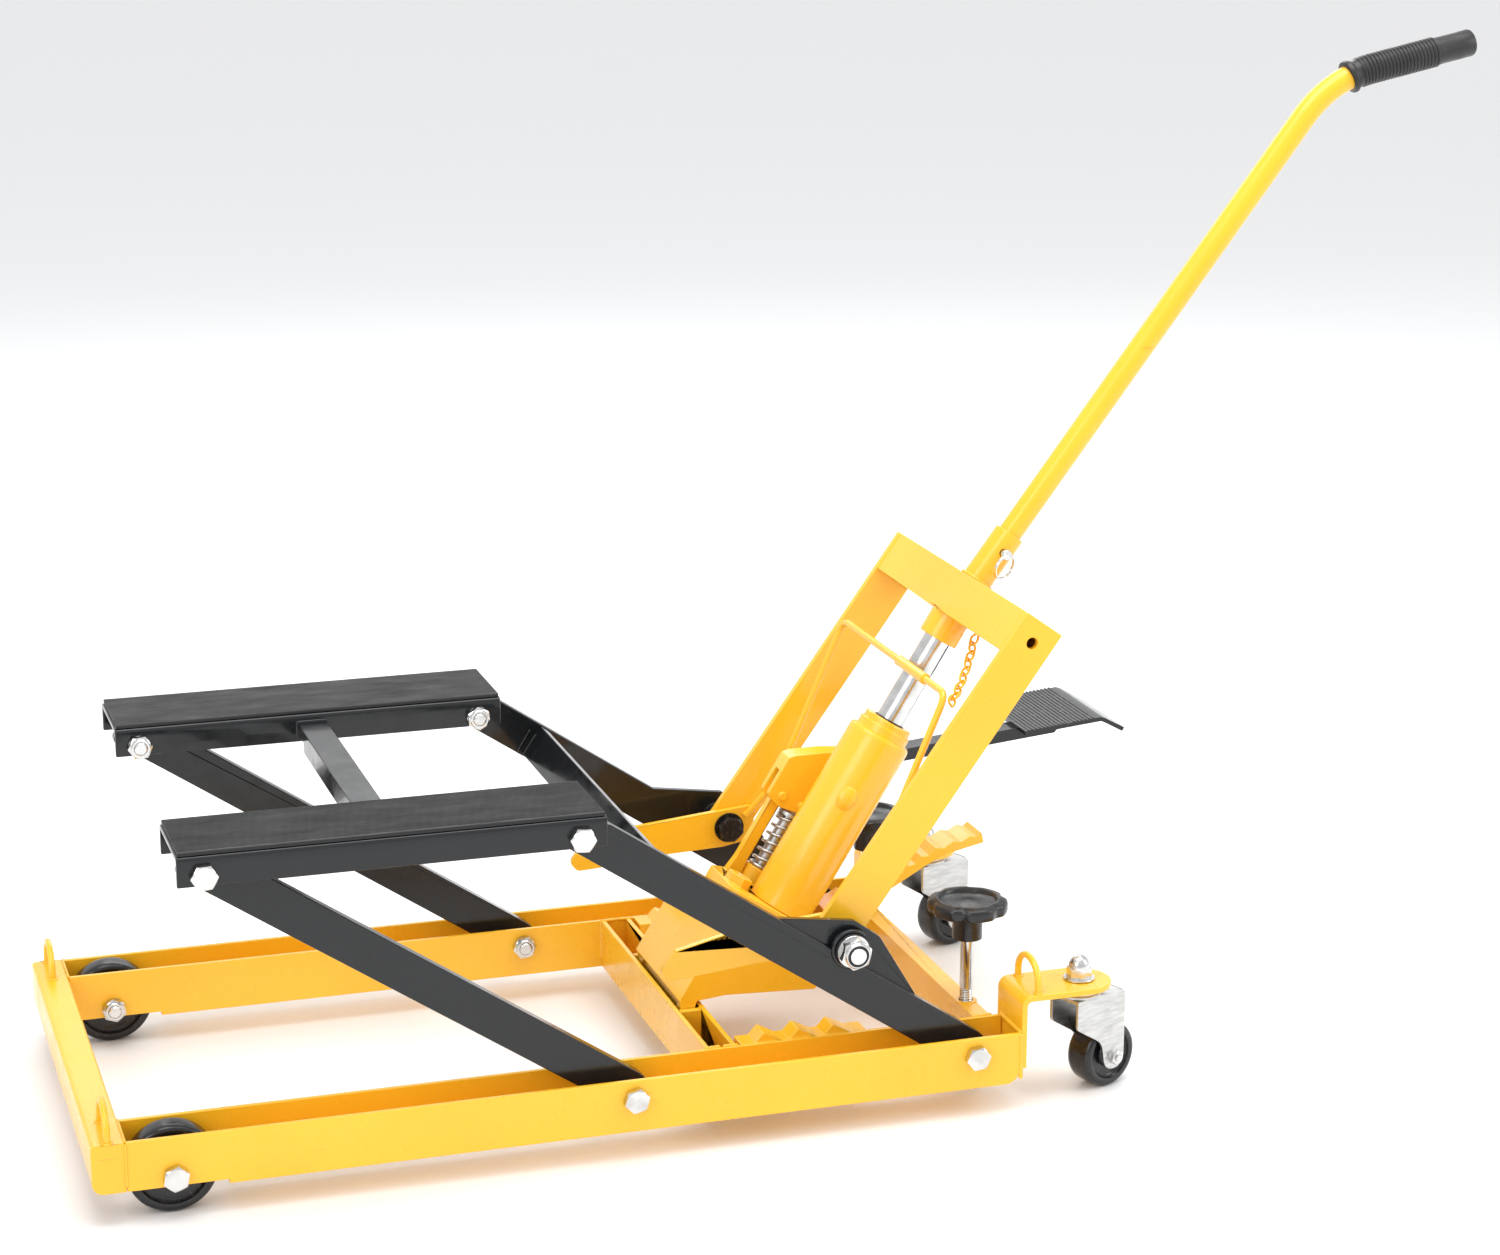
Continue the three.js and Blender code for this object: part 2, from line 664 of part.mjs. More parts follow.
// Crossbar with the ram collar under it and the handle socket on top, in the yoke's frame. The socket
// leans a little further back than the yoke, as the handle does.
function yokeCrossbar() {
  const end = yoke.half - yoke.leg - gap;
  const half = yoke.barDepth / 2;
  const bottom = yoke.top - yoke.barHeight;
  const inside = half - yoke.barWall;
  const tube = cut(
    block([-half, half], [-end, end], [bottom, yoke.top]),
    block([-inside, inside], [-end - 1, end + 1], [bottom + yoke.barWall, yoke.top - yoke.barWall]),
  );
  const toYoke = yokeFrame.matrix.clone().invert().multiply(ramFrame.matrix);
  const ring = cut(
    post(collar.radius, [collar.start, collar.end], 0, 0, 32),
    post(ram.rod + gap, [collar.start - 1, collar.start + collar.bore], 0, 0, 32),
  ).applyMatrix4(toYoke);
  const sleeve = cut(
    post(socket.outer, [-1.5, socket.length], 0, 0, 28),
    post(handle.radius + runningGap, [socket.floor, socket.length + 1], 0, 0, 28),
    shaft(socket.pinRadius + gap, [-20, 20], 0, socket.pinAt, 14),
  ).applyMatrix4(yokeFrame.matrix.clone().invert().multiply(handleFrame.matrix));
  return join(tube, ring, sleeve);
}

const handleStart = vector(0, 0, socket.floor + gap).applyMatrix4(handleFrame.matrix);
const gripDirection = vector(Math.cos(gripAngle), 0, Math.sin(gripAngle));
const gripEnd = handleCorner.clone().addScaledVector(gripDirection, handle.reach);
const handleEnd = gripEnd.clone().addScaledVector(gripDirection, -grip.cap - gap);
const handleLine = bent([handleStart, handleCorner, handleEnd], handle.bend, handle.bendSteps);

function handleTube() {
  const tube = sweep(handleLine, handle.radius, 14, handle.radius - handle.wall);
  const pinHole = shaft(socket.pinRadius + gap, [-20, 20], 0, socket.pinAt, 14);
  return cut(tube, pinHole.applyMatrix4(handleFrame.matrix));
}

// Rubber grip over the end of the bend: a collar, a ribbed middle and a plain closed end.
function handleGrip() {
  const first = handleLine.findIndex((point) => gripEnd.distanceTo(point) <= handle.grip);
  const bend = handleLine.slice(first, -1);
  const line = [...bend, gripEnd.clone().addScaledVector(gripDirection, 1 - grip.cap)];
  const ribbed = [...bend, bend[bend.length - 1].clone().lerp(handleEnd, 0.6)];
  const depth = gripEnd.clone().addScaledVector(gripDirection, -grip.cap);
  const cap = turned([[0, -grip.cap], [grip.end, -grip.cap], [grip.end, -1.5], [grip.end - 1.6, 0], [0, 0]], 14);
  const turn = new THREE.Quaternion().setFromUnitVectors(vector(0, 0, 1), gripDirection);
  const rubberBody = join(
    sweep(line, grip.end, 14),
    sweep(ribbed, grip.radius, 14),
    sweep(line.slice(0, 2), grip.collar, 14),
    cap.applyQuaternion(turn).translate(gripEnd.x, gripEnd.y, gripEnd.z),
  );
  return cut(rubberBody, sweep([...handleLine.slice(first - 1, -1), depth], handle.radius + gap, 14));
}

// Pull pin through socket and handle, with a split ring in its head.
function pullPin() {
  const at = socket.pinAt;
  const head = -socket.outer - 7;
  const ring = new THREE.TorusGeometry(10, 0.9, 6, 28).rotateX(Math.PI / 2).rotateZ(0.5);
  return join(
    shaft(socket.pinRadius, [head, socket.outer + 4], 0, at, 16),
    shaft(socket.pinRadius + 1.2, [head, head + 4], 0, at, 16),
    ring.translate(4.5, head + 1.5, at - 8.5),
  );
}

// Chain from the crossbar down to the lock's wire handle, as one slim solid.
function safetyChain() {
  const start = vector(15, -22, yoke.top - yoke.barHeight - 3).applyMatrix4(yokeFrame.matrix);
  const end = vector(lockWire.topX + 7, -lockWire.half + 12, lockWire.topZ - 12);
  const middle = start.clone().lerp(end, 0.55).add(vector(2, 0, -9));
  return sweep(new THREE.QuadraticBezierCurve3(start, middle, end).getPoints(10), 2.6, 8);
}

// ---------------------------------------------------------------- lock frame
function lockFrame() {
  const { x, z } = liftPivot;
  const outline = [
    [x - 137, z - 17.5, 6],
    [x - 124.5, z - 2, 4],
    [x - 81, z + 8, 10],
    [x + 26, z + 18, 6],
    [x + 17, z - 13, 12],
    [x - 6, z - 17, 8],
    [x - 60, z - 19, 10],
    [x - 112, z - 24.5, 10],
    [x - 130, z - 25.5, 6],
  ];
  const hole = [[x, z, liftPivot.radius + runningGap]];
  const bars = Object.values(sides).map((side) =>
    plateXZ(outline, across(side, lockBar.outer - lockBar.thickness, lockBar.outer), hole),
  );
  const run = (side) => [
    vector(x + 14, side * (lockBar.outer - lockBar.thickness - lockWire.radius + 1.2), z + 9),
    vector(x + 38, side * (lockWire.half + 2), z + 41),
    vector(lockWire.topX, side * lockWire.half, lockWire.topZ),
  ];
  const corners = [...run(-1), ...run(1).reverse()];
  const wire = sweep(bent(corners, 11, 4), lockWire.radius, 8);
  const sleeve = shaft(lockWire.radius + 1.4, [-72, -14], lockWire.topX, lockWire.topZ, 14);
  return join(...bars, wire, sleeve);
}

// ---------------------------------------------------------------- ram and pump, in the ram's frame
function ramCylinder() {
  const { radius, length, cap, capLength, rod, bore } = ram;
  const plug = new THREE.SphereGeometry(6, 12, 8).scale(1, 0.5, 1);
  const body = turned([
    [0, gap],
    [radius, gap],
    [radius, length - 4],
    [radius - 1.2, length - 1.2],
    [radius - 4, length],
    [cap, length],
    [cap, length + 7],
    [cap - 1.6, length + 8.5],
    [cap - 1.6, length + capLength],
    [rod + runningGap, length + capLength],
    [rod + runningGap, bore],
    [0, bore],
  ], 36);
  return join(body, plug.rotateZ(-0.35).translate(-8.9, -24.2, 104));
}

function ramCradle() {
  const { half, sheet, front, back, foot, top } = cradle;
  const [pinP, pinT] = inFrame(ramFrame, cradlePin.x, cradlePin.z);
  const side = [
    [front, foot + 2],
    [front, top],
    [back, top],
    [back, top - 10],
    [front + 32, -72],
    [pinP + 1.2, foot + 6.5],
    [pinP + 6, pinT - 5.7],
    [pinP - 4, pinT - 5.7],
  ];
  const cheeks = Object.values(sides).map((s) => plateXZ(side, across(s, half - sheet, half)));
  const knuckles = Object.values(sides).map((s) => shaft(7.4, across(s, half - 12, half), pinP, pinT, 24));
  const frontSheet = block([front, front + sheet], [-half, half], [foot, top]);
  const shelf = block([front, back], [-half, half], [top - sheet, top]);
  const bore = shaft(cradlePin.radius + runningGap, [-half - 1, half + 1], pinP, pinT);
  return cut(join(frontSheet, shelf, ...cheeks, ...knuckles), bore);
}

// Base casting with the pump barrel, the link post that the lever hinges on and the release ears.
function ramBase() {
  const bottom = cradle.top + gap;
  const slab = plateXY(
    [
      [-54, -24, 10],
      [20, -33, 14],
      [33, -18, 14],
      [33, 24, 14],
      [8, 62, 12],
      [-30, 62, 10],
      [-54, 36, 10],
    ],
    [bottom, 0],
  );
  const barrel = post(pump.boss, [-2, pump.bossTop], pump.p, pump.y, 24);
  const nut = post(11, [-1, 8], -41, 4, 6);
  const link = plateXZ(
    [
      [pumpPivot.p - 7, -2],
      [pumpPivot.p + 7, -2],
      [pumpPivot.p + 5, 14, 6],
      [pumpPivot.p + 5, pumpPivot.t + 6, 4.9],
      [pumpPivot.p - 5, pumpPivot.t + 6, 4.9],
      [pumpPivot.p - 5, 14, 6],
    ],
    [pump.y - 4, pump.y + 4],
    [[pumpPivot.p, pumpPivot.t, 3.9]],
  );
  const [earP, earT] = release.pivot;
  const earInner = release.half + gap;
  const ears = Object.values(sides).map((side) =>
    plateXZ(
      [[earP - 7, -2], [earP - 2, -12], [earP + 6, earT + 6, 5], [earP - 6, earT + 6, 5]],
      across(side, earInner, earInner + 5),
      [[earP, earT, 3.4]],
    ),
  );
  const collarRing = post(ram.radius + 3.5, [-2, 0], 0, 0, 40);
  const bore = post(pump.radius + gap, [-16, pump.bossTop + 1], pump.p, pump.y);
  return cut(join(slab, barrel, nut, link, ...ears, collarRing), bore);
}

function pumpPiston() {
  const eye = plateXZ(
    [[pump.p - 7.5, pump.eye - 12], [pump.p + 7.5, pump.eye - 12], [pump.p + 7.5, pump.eye + 7.5, 7.4],
      [pump.p - 7.5, pump.eye + 7.5, 7.4]],
    [pump.y - 4, pump.y + 4],
    [[pump.p, pump.eye, 4.6]],
  );
  return join(
    post(pump.radius, [-8, pump.eye - 11], pump.p, pump.y),
    post(pump.spring + 1.5, [pump.eye - 13, pump.eye - 9.5], pump.p, pump.y, 24),
    eye,
  );
}

function pumpSpring() {
  const [start, end] = [pump.bossTop + pump.wire + gap, pump.eye - 13 - pump.wire - gap];
  const points = [];
  const steps = pump.coils * 12;
  for (let k = 0; k <= steps; k += 1) {
    const angle = (2 * Math.PI * pump.coils * k) / steps;
    const height = start + ((end - start) * k) / steps;
    points.push(vector(pump.p + pump.spring * Math.cos(angle), pump.y + pump.spring * Math.sin(angle), height));
  }
  return sweep(points, pump.wire, 6);
}

// A point of the lever's side view: u along the pedal bar from the socket's mouth, n above its underside.
function onLever(u, n) {
  const [p, t] = lever.start;
  const [c, s] = [Math.cos(lever.rise), Math.sin(lever.rise)];
  return [p + c * u - s * n, t + s * u + c * n];
}

function pumpLever() {
  const outline = [
    [pumpPivot.p - 12, pumpPivot.t - 5, 5],
    [pumpPivot.p + 3, pumpPivot.t - 9, 6],
    [pump.p + 8, pump.eye - 5, 6],
    [pump.p + 9, pump.eye + 12, 4],
    onLever(-38, -5.5),
    onLever(0, -5.5),
    onLever(0, pedal.bar + 1.5),
    onLever(-48, pedal.bar + 10),
    [...onLever(-72, pedal.bar + 12), 3],
    [pumpPivot.p - 12, pumpPivot.t + 30, 4],
  ];
  const slot = block([pumpPivot.p - 20, pump.p + 12], lever.slot, [pumpPivot.t - 20, pumpPivot.t + 17]);
  const pins = [
    shaft(3.5, [lever.y[0] - 2.5, lever.y[1] + 2.5], pumpPivot.p, pumpPivot.t, 14),
    shaft(3, [lever.y[0] - 2.5, lever.y[1] + 2.5], pump.p, pump.eye, 14),
  ];
  return join(cut(plateXZ(outline, lever.y), slot), ...pins);
}

function footPedal() {
  const [y0, y1] = lever.y;
  const bar = plateXZ(
    [onLever(gap, 0), onLever(pedal.length - 3, 0), onLever(pedal.length, 4), onLever(pedal.length, pedal.bar + 1),
      onLever(gap, pedal.bar + 1)],
    [y0 + 0.5, y1 - 0.5],
  );
  const bend = THREE.MathUtils.degToRad(pedal.bend);
  const [lipU, lipN] = [pedal.lip * Math.cos(bend), -pedal.lip * Math.sin(bend)];
  const [start, end] = pedal.plate;
  const sheet = plateXZ(
    [
      onLever(start, pedal.bar),
      onLever(end, pedal.bar),
      onLever(end + lipU, pedal.bar + lipN),
      onLever(end + lipU + pedal.sheet * Math.sin(bend), pedal.bar + lipN + pedal.sheet * Math.cos(bend)),
      [...onLever(end + 1, pedal.bar + pedal.sheet), 4],
      onLever(start, pedal.bar + pedal.sheet),
    ],
    pedal.y,
  );
  const cornerRadius = 16;
  const limits = [onLever(start, 0)[0] - 1.6, onLever(end + lipU, 0)[0] + 16];
  const plan = [
    [limits[0] - 20, pedal.y[0] - 1],
    [limits[1], pedal.y[0] - 1],
    [limits[1], pedal.y[1], cornerRadius],
    [limits[0] - 20, pedal.y[1]],
  ];
  return join(bar, common(sheet, plateXY(plan, [0, 400])));
}

// Curved release pedal with a stepped tread, on its own cross pin.
function releasePedal() {
  const [pivotP, pivotT] = release.pivot;
  const line = new THREE.SplineCurve([
    new THREE.Vector2(pivotP - 3, pivotT + 2),
    new THREE.Vector2(...inFrame(ramFrame, liftPivot.x + 68.5, 114)),
    new THREE.Vector2(...inFrame(ramFrame, liftPivot.x + 99, 129.5)),
    new THREE.Vector2(...inFrame(ramFrame, liftPivot.x + 132, 147)),
    new THREE.Vector2(...inFrame(ramFrame, liftPivot.x + 169.5, 156)),
  ]);
  const under = line.getPoints(12);
  const over = [];
  const onTread = (t, height) => {
    const tangent = line.getTangent(t);
    return line.getPoint(t).add(new THREE.Vector2(-tangent.y, tangent.x).multiplyScalar(height));
  };
  for (let k = 0; k < release.teeth; k += 1) {
    over.push(onTread(k / release.teeth, release.sheet + (k > 1 ? release.tooth : 0)));
    over.push(onTread((k + 0.4) / release.teeth, release.sheet));
  }
  over.push(onTread(1, release.sheet + release.tooth));
  const outline = [...under, ...over.reverse()].map((point) => [point.x, point.y]);
  const strip = plateXZ(outline, [-release.half, release.half]);
  const eye = shaft(6, [-release.half, release.half], pivotP, pivotT);
  const pin = shaft(3, [-release.half - 7, release.half + 7], pivotP, pivotT, 14);
  return join(strip, eye, pin);
}

// ---------------------------------------------------------------- everything in its place
for (const [name, side] of Object.entries(sides)) {
  add(`rail_${name}`, rail(side), yellow);
  add(`caster_bracket_${name}`, casterBracket(side), yellow);
  add(`kingpin_${name}`, kingpin(side), chrome);
  add(`wheel_bolt_${name}`, bolt(side, frontWheel.x, frontWheel.radius, baseHalfWidth, railInner), chrome);
  add(`front_arm_bolt_${name}`, bolt(side, frontPivotX, pivotHeight, baseHalfWidth, railInner), chrome);
  add(`rear_arm_bolt_${name}`, bolt(side, rearPivotX, pivotHeight, baseHalfWidth, railInner), chrome);
  const roller = add(`front_wheel_${name}`, wheel(frontWheel.radius, frontWheel.width, boltRadius + runningGap), plastic);
  roller.position.set(frontWheel.x, side * frontWheel.y, frontWheel.radius);
  add(`lock_screw_${name}`, lockScrew(side), chrome);
  add(`hand_knob_${name}`, handKnob(side), plastic);
  add(`front_arm_${name}`, arm(side, frontPivotX), black);
  add(`rear_arm_${name}`, rearArm(side), black);
  add(`lift_bolt_${name}`, liftBolt(side), chrome);
  add(`saddle_${name}`, saddleChannel(side), black);
  add(`saddle_pad_${name}`, saddlePad(side), rubber);
  const inner = saddle.outer - saddle.width;
  add(`saddle_front_bolt_${name}`, bolt(side, ...saddleFront, saddle.outer, inner), chrome);
  add(`saddle_rear_bolt_${name}`, bolt(side, ...saddleBack, saddle.outer, inner), chrome);
  add(`yoke_leg_${name}`, yokeLeg(side), yellow, yokeFrame);
  add(`yoke_bolt_${name}`, yokeBolt(side), black, yokeFrame);
}
add('front_crossbar', frontBar(), yellow);
add('middle_crossbar', middleBar(), yellow);
add('rear_crossbar', rearCrossbar(), yellow);
casters();
add('arm_brace', armBrace(), black);
add('saddle_crossbar', saddleCrossbar(), black);
add('yoke_crossbar', yokeCrossbar(), yellow, yokeFrame);
add('handle_tube', handleTube(), yellow);
add('handle_grip', handleGrip(), rubber);
add('handle_pin', pullPin(), chrome, handleFrame);
add('safety_chain', safetyChain(), yellow);
add('lock_frame', lockFrame(), yellow);
const rodSpan = [ram.rodStart, collar.start + collar.bore - gap];
add('ram_rod', post(ram.rod, rodSpan, 0, 0, 36), chrome, ramFrame);
add('ram_cylinder', ramCylinder(), yellow, ramFrame);
add('ram_cradle', ramCradle(), yellow, ramFrame);
add('ram_base', ramBase(), yellow, ramFrame);
add('pump_piston', pumpPiston(), zinc, ramFrame);
add('pump_spring', pumpSpring(), zinc, ramFrame);
add('pump_lever', pumpLever(), yellow, ramFrame);
add('foot_pedal', footPedal(), black, ramFrame);
add('release_pedal', releasePedal(), yellow, ramFrame);

const extent = new THREE.Box3().setFromObject(jack, true);
const middle = extent.getCenter(vector(0, 0, 0));
jack.position.set(-middle.x, -middle.y, -extent.min.z);

export default jack;
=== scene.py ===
# %% [markdown]
# # A foot-pumped motorcycle lift jack
# The CAD model gives every part its place and its motion, and this lesson gives every part its
# looks. Most pressed and welded parts keep their CAD shape and get rounded edges and paint.
# Bolts, wheels, springs, chain and rubber are made again with the detail their real ones have.

# %% Load the frame
import json
import math

import bmesh
import bpy
from mathutils import Matrix, Vector


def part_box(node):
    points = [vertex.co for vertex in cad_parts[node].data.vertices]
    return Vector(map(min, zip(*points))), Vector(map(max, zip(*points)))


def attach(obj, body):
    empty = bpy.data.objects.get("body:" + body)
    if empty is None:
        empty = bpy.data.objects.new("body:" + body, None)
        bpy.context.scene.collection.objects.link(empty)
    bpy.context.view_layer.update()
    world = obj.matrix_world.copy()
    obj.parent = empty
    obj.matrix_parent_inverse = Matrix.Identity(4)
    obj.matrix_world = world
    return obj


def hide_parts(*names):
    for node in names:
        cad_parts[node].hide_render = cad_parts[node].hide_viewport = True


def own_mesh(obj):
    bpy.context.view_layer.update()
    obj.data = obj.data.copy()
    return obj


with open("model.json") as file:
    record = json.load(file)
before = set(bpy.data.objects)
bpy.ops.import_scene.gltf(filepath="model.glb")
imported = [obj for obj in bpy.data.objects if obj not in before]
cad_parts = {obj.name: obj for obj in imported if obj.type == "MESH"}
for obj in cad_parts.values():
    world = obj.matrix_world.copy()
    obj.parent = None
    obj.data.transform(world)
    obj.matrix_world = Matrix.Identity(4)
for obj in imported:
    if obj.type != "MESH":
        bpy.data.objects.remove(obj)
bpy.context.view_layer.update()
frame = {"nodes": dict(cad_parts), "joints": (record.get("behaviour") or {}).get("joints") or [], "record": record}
nodes = frame["nodes"]
joints = {joint["name"]: joint for joint in frame["joints"]}
body_of = {node: body for body, members in frame["record"]["behaviour"]["bodies"].items() for node in members}

# %% [markdown]
# Blender measures in metres but a workshop drawing is in millimetres. A matrix that scales and
# moves, called a space here, lets each part be drawn in millimetres where it is easiest: along
# the jack, along the leaning ram, along the leaning yoke, or outwards along a bolt.

# %% Spaces to draw in
MM = Matrix.Scale(0.001, 4)
front_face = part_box("front_crossbar")[0].x
drawing = Matrix.Translation((front_face, 0, 0)) @ MM


def leaning(x, z, degrees):
    return drawing @ Matrix.Translation((x, 0, z)) @ Matrix.Rotation(math.radians(degrees), 4, "Y")


def outward(x, z, side):
    return drawing @ Matrix.Translation((x, 0, z)) @ Matrix.Rotation(-side * math.pi / 2, 4, "X")


SIDES = {"near": -1, "far": 1}
RAM_FOOT = (569, 114)
RAM_LEAN = 31.9
LIFT_PIVOT = (567.5, 140)
YOKE_LEAN = 35.66
ram_space = leaning(*RAM_FOOT, RAM_LEAN)
yoke_space = leaning(*LIFT_PIVOT, YOKE_LEAN)
print("front face of the jack at x =", round(front_face, 4), "m")

# %% [markdown]
# Round parts are turned on a lathe, so one helper spins a profile of radius and height. A profile
# that starts and ends on the axis gives a closed solid, and a ring-shaped one is closed on itself.

# %% Turned parts
def full_circle(count):
    return [2 * math.pi * k / count for k in range(count)]


def on_circle(radius, angle, height=0.0):
    return Vector((radius * math.cos(angle), radius * math.sin(angle), height))


def turned(bm, profile, space, segments=48, ring=False):
    rows = []
    for radius, height in profile:
        if radius == 0:
            rows.append([bm.verts.new(space @ Vector((0, 0, height)))])
            continue
        rows.append([bm.verts.new(space @ on_circle(radius, a, height)) for a in full_circle(segments)])
    pairs = list(zip(rows, rows[1:])) + ([(rows[-1], rows[0])] if ring else [])
    for low, high in pairs:
        for k in range(segments):
            n = (k + 1) % segments
            corners = [low[k % len(low)], low[n % len(low)], high[n % len(high)], high[k % len(high)]]
            corners = [v for i, v in enumerate(corners) if v not in corners[:i]]
            if len(corners) > 2:
                bm.faces.new(corners)


# %% [markdown]
# Wires, tubes and weld beads are one circle carried along a line. The circle's own axes are
# passed on from point to point with the least turn, so that the tube never twists. The rings of
# points are then stitched into a skin, as every ring-built shape below is.

# %% Swept parts
def stitch(bm, rows, capped=True):
    """A skin over rings with equal counts of points, and flat ends if capped."""
    for low, high in zip(rows, rows[1:]):
        for k in range(len(low)):
            n = (k + 1) % len(low)
            bm.faces.new([low[k], low[n], high[n], high[k]])
    if capped:
        bm.faces.new(rows[0][::-1])
        bm.faces.new(rows[-1])


def swept(bm, points, radius, space, sides=12, closed=False):
    points = [Vector(p) for p in points]
    count = len(points)
    radii = radius if isinstance(radius, list) else [radius] * count
    last = count if closed else count - 1
    steps = [(points[(i + 1) % count] - points[i]).normalized() for i in range(last)]
    normal = steps[0].orthogonal().normalized()
    rings = []
    for i, point in enumerate(points):
        before = steps[i - 1] if (closed or i > 0) else steps[0]
        after = steps[i % last] if (closed or i < last) else steps[-1]
        tangent = (before + after).normalized()
        normal = (normal - tangent * normal.dot(tangent)).normalized()
        side = tangent.cross(normal)
        ring = [point + radii[i] * (normal * math.cos(a) + side * math.sin(a)) for a in full_circle(sides)]
        rings.append([bm.verts.new(space @ v) for v in ring])
    stitch(bm, rings + rings[:1] if closed else rings, capped=not closed)


def rounded_line(corners, radius, steps=8):
    """Straight runs between corners, with each corner bent to a smooth curve."""
    corners = [Vector(c) for c in corners]
    points = [corners[0]]
    for before, corner, after in zip(corners, corners[1:], corners[2:]):
        back, on = (before - corner).normalized(), (after - corner).normalized()
        reach = radius / math.tan(back.angle(on) / 2)
        start, end = corner + back * reach, corner + on * reach
        for k in range(steps + 1):
            t = k / steps
            points.append(start * (1 - t) ** 2 + corner * (2 * t * (1 - t)) + end * t ** 2)
    return points + [corners[-1]]


# %% [markdown]
# A sheet or bar is a flat outline given a thickness. Hexagon heads need more care: their top
# corners are cut by a cone, which leaves the curved edges that show on every real bolt head.

# %% Plates and hexagons
def extruded(bm, outline, low, high, space):
    bottom = [bm.verts.new(space @ Vector((u, v, low))) for u, v in outline]
    top = [bm.verts.new(space @ Vector((u, v, high))) for u, v in outline]
    bm.faces.new(bottom[::-1])
    bm.faces.new(top)
    for k in range(len(outline)):
        n = (k + 1) % len(outline)
        bm.faces.new([bottom[k], bottom[n], top[n], top[k]])


def hexagon(bm, flats, low, high, space, spin=0.0, crown=0.94, both=False):
    """A hexagon from low to high, its corners cut by a cone at high, and at low too if both."""
    points_per_side = 10
    edge = flats / 2
    rim = edge * crown
    angles = full_circle(6 * points_per_side)
    radii = [edge / math.cos((a % (math.pi / 3)) - math.pi / 6) for a in angles]
    drop = [max(0.0, r - edge) * 0.58 + 0.35 for r in radii]

    def row(radius, height):
        places = [on_circle(r, a + spin, h) for a, r, h in zip(angles, radius, height)]
        return [bm.verts.new(space @ place) for place in places]

    count = len(angles)
    ends = [low + d for d in drop] if both else [low] * count
    rows = [
        row(radii, ends),
        row(radii, [high - d for d in drop]),
        row([rim] * count, [high] * count),
    ]
    if both:
        rows.insert(0, row([rim] * count, [low] * count))
    stitch(bm, rows)


# %% [markdown]
# Every finished shape becomes a piece in the same way: its faces are turned outwards, shaded smooth except across
# sharp edges, given its finish and hung on the body it rides on, and the CAD parts it stands for are hidden.

# %% From mesh to piece
pieces = []


def add_piece(name, bm, finish, body, stands_for=(), sharp=32):
    bmesh.ops.recalc_face_normals(bm, faces=bm.faces)
    mesh = bpy.data.meshes.new(name)
    bm.to_mesh(mesh)
    bm.free()
    for polygon in mesh.polygons:
        polygon.use_smooth = True
    mesh.set_sharp_from_angle(angle=math.radians(sharp))
    piece = bpy.data.objects.new(name, mesh)
    bpy.context.scene.collection.objects.link(piece)
    mesh.materials.append(finish)
    if body:
        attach(piece, body)
    if stands_for:
        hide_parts(*stands_for)
    pieces.append(piece)
    return piece


# %% [markdown]
# The camera stands in front of the near side, a little above the saddles. Its lens is a short
# telephoto, as used for catalogue work, so that the far rail still looks nearly as long as the
# near one. A small shift of the film frames the tall handle without tilting the camera.

# %% Camera
camera_data = bpy.data.cameras.new("studio_camera")
camera = bpy.data.objects.new("studio_camera", camera_data)
bpy.context.scene.collection.objects.link(camera)
camera_place = drawing @ Vector((-215.7, -2337.0, 1000.3))
camera_aim = drawing @ Vector((453.4, -249.6, 405.8))
camera.location = camera_place
camera.rotation_mode = "QUATERNION"
roll = Matrix.Rotation(math.radians(0.1), 4, "Z").to_quaternion()
camera.rotation_quaternion = (camera_aim - camera_place).to_track_quat("-Z", "Y") @ roll
camera_data.sensor_width = 36
camera_data.lens = 78.66
camera_data.shift_x = 0.0086
camera_data.shift_y = 0.0101
camera_data.clip_end = 120
bpy.context.scene.camera = camera
print("camera at", [round(c, 3) for c in camera_place])

# %% [markdown]
# A product studio is a bright room: a pale floor, pale walls all round, one large soft light
# above and two at the sides. The walls are the world's plain background here. Large lights give
# soft shadows and the long white streaks that make gloss paint look like gloss paint.

# %% Floor and light
def area_light(name, place, aim, width, depth, power):
    data = bpy.data.lights.new(name, "AREA")
    data.shape = "RECTANGLE"
    data.size = width
    data.size_y = depth
    data.energy = power
    light = bpy.data.objects.new(name, data)
    light.location = place
    light.rotation_mode = "QUATERNION"
    light.rotation_quaternion = (Vector(aim) - Vector(place)).to_track_quat("-Z", "Y")
    bpy.context.scene.collection.objects.link(light)


area_light("top_softbox", (0.1, -0.3, 2.6), (0.0, 0.1, 0.0), 2.6, 1.6, 50)
area_light("left_softbox", (-2.4, -1.9, 1.7), (0.0, 0.0, 0.2), 1.4, 1.8, 26)
area_light("right_softbox", (2.5, -1.2, 1.5), (0.1, 0.0, 0.3), 1.2, 1.8, 20)
area_light("back_softbox", (0.6, 2.6, 2.0), (0.1, 0.0, 0.2), 2.4, 1.2, 22)
world = bpy.data.worlds.new("pale_room")
world.use_nodes = True
world.node_tree.nodes["Background"].inputs["Color"].default_value = (0.96, 0.965, 0.975, 1)
world.node_tree.nodes["Background"].inputs["Strength"].default_value = 0.95
bpy.context.scene.world = world
bpy.context.scene.view_settings.view_transform = "Standard"

floor_bm = bmesh.new()
bmesh.ops.create_grid(floor_bm, x_segments=1, y_segments=1, size=40)
floor_mesh = bpy.data.meshes.new("studio_floor")
floor_bm.to_mesh(floor_mesh)
floor_bm.free()
studio_floor = bpy.data.objects.new("studio_floor", floor_mesh)
bpy.context.scene.collection.objects.link(studio_floor)

# %% [markdown]
# A finish is a small network of nodes. These helpers keep the networks short to read: noise for
# anything uneven, a ramp to choose how much of it shows, a mix of two colours, and a bump that
# lets the light feel a texture too fine to model. Object coordinates keep a pattern in place.

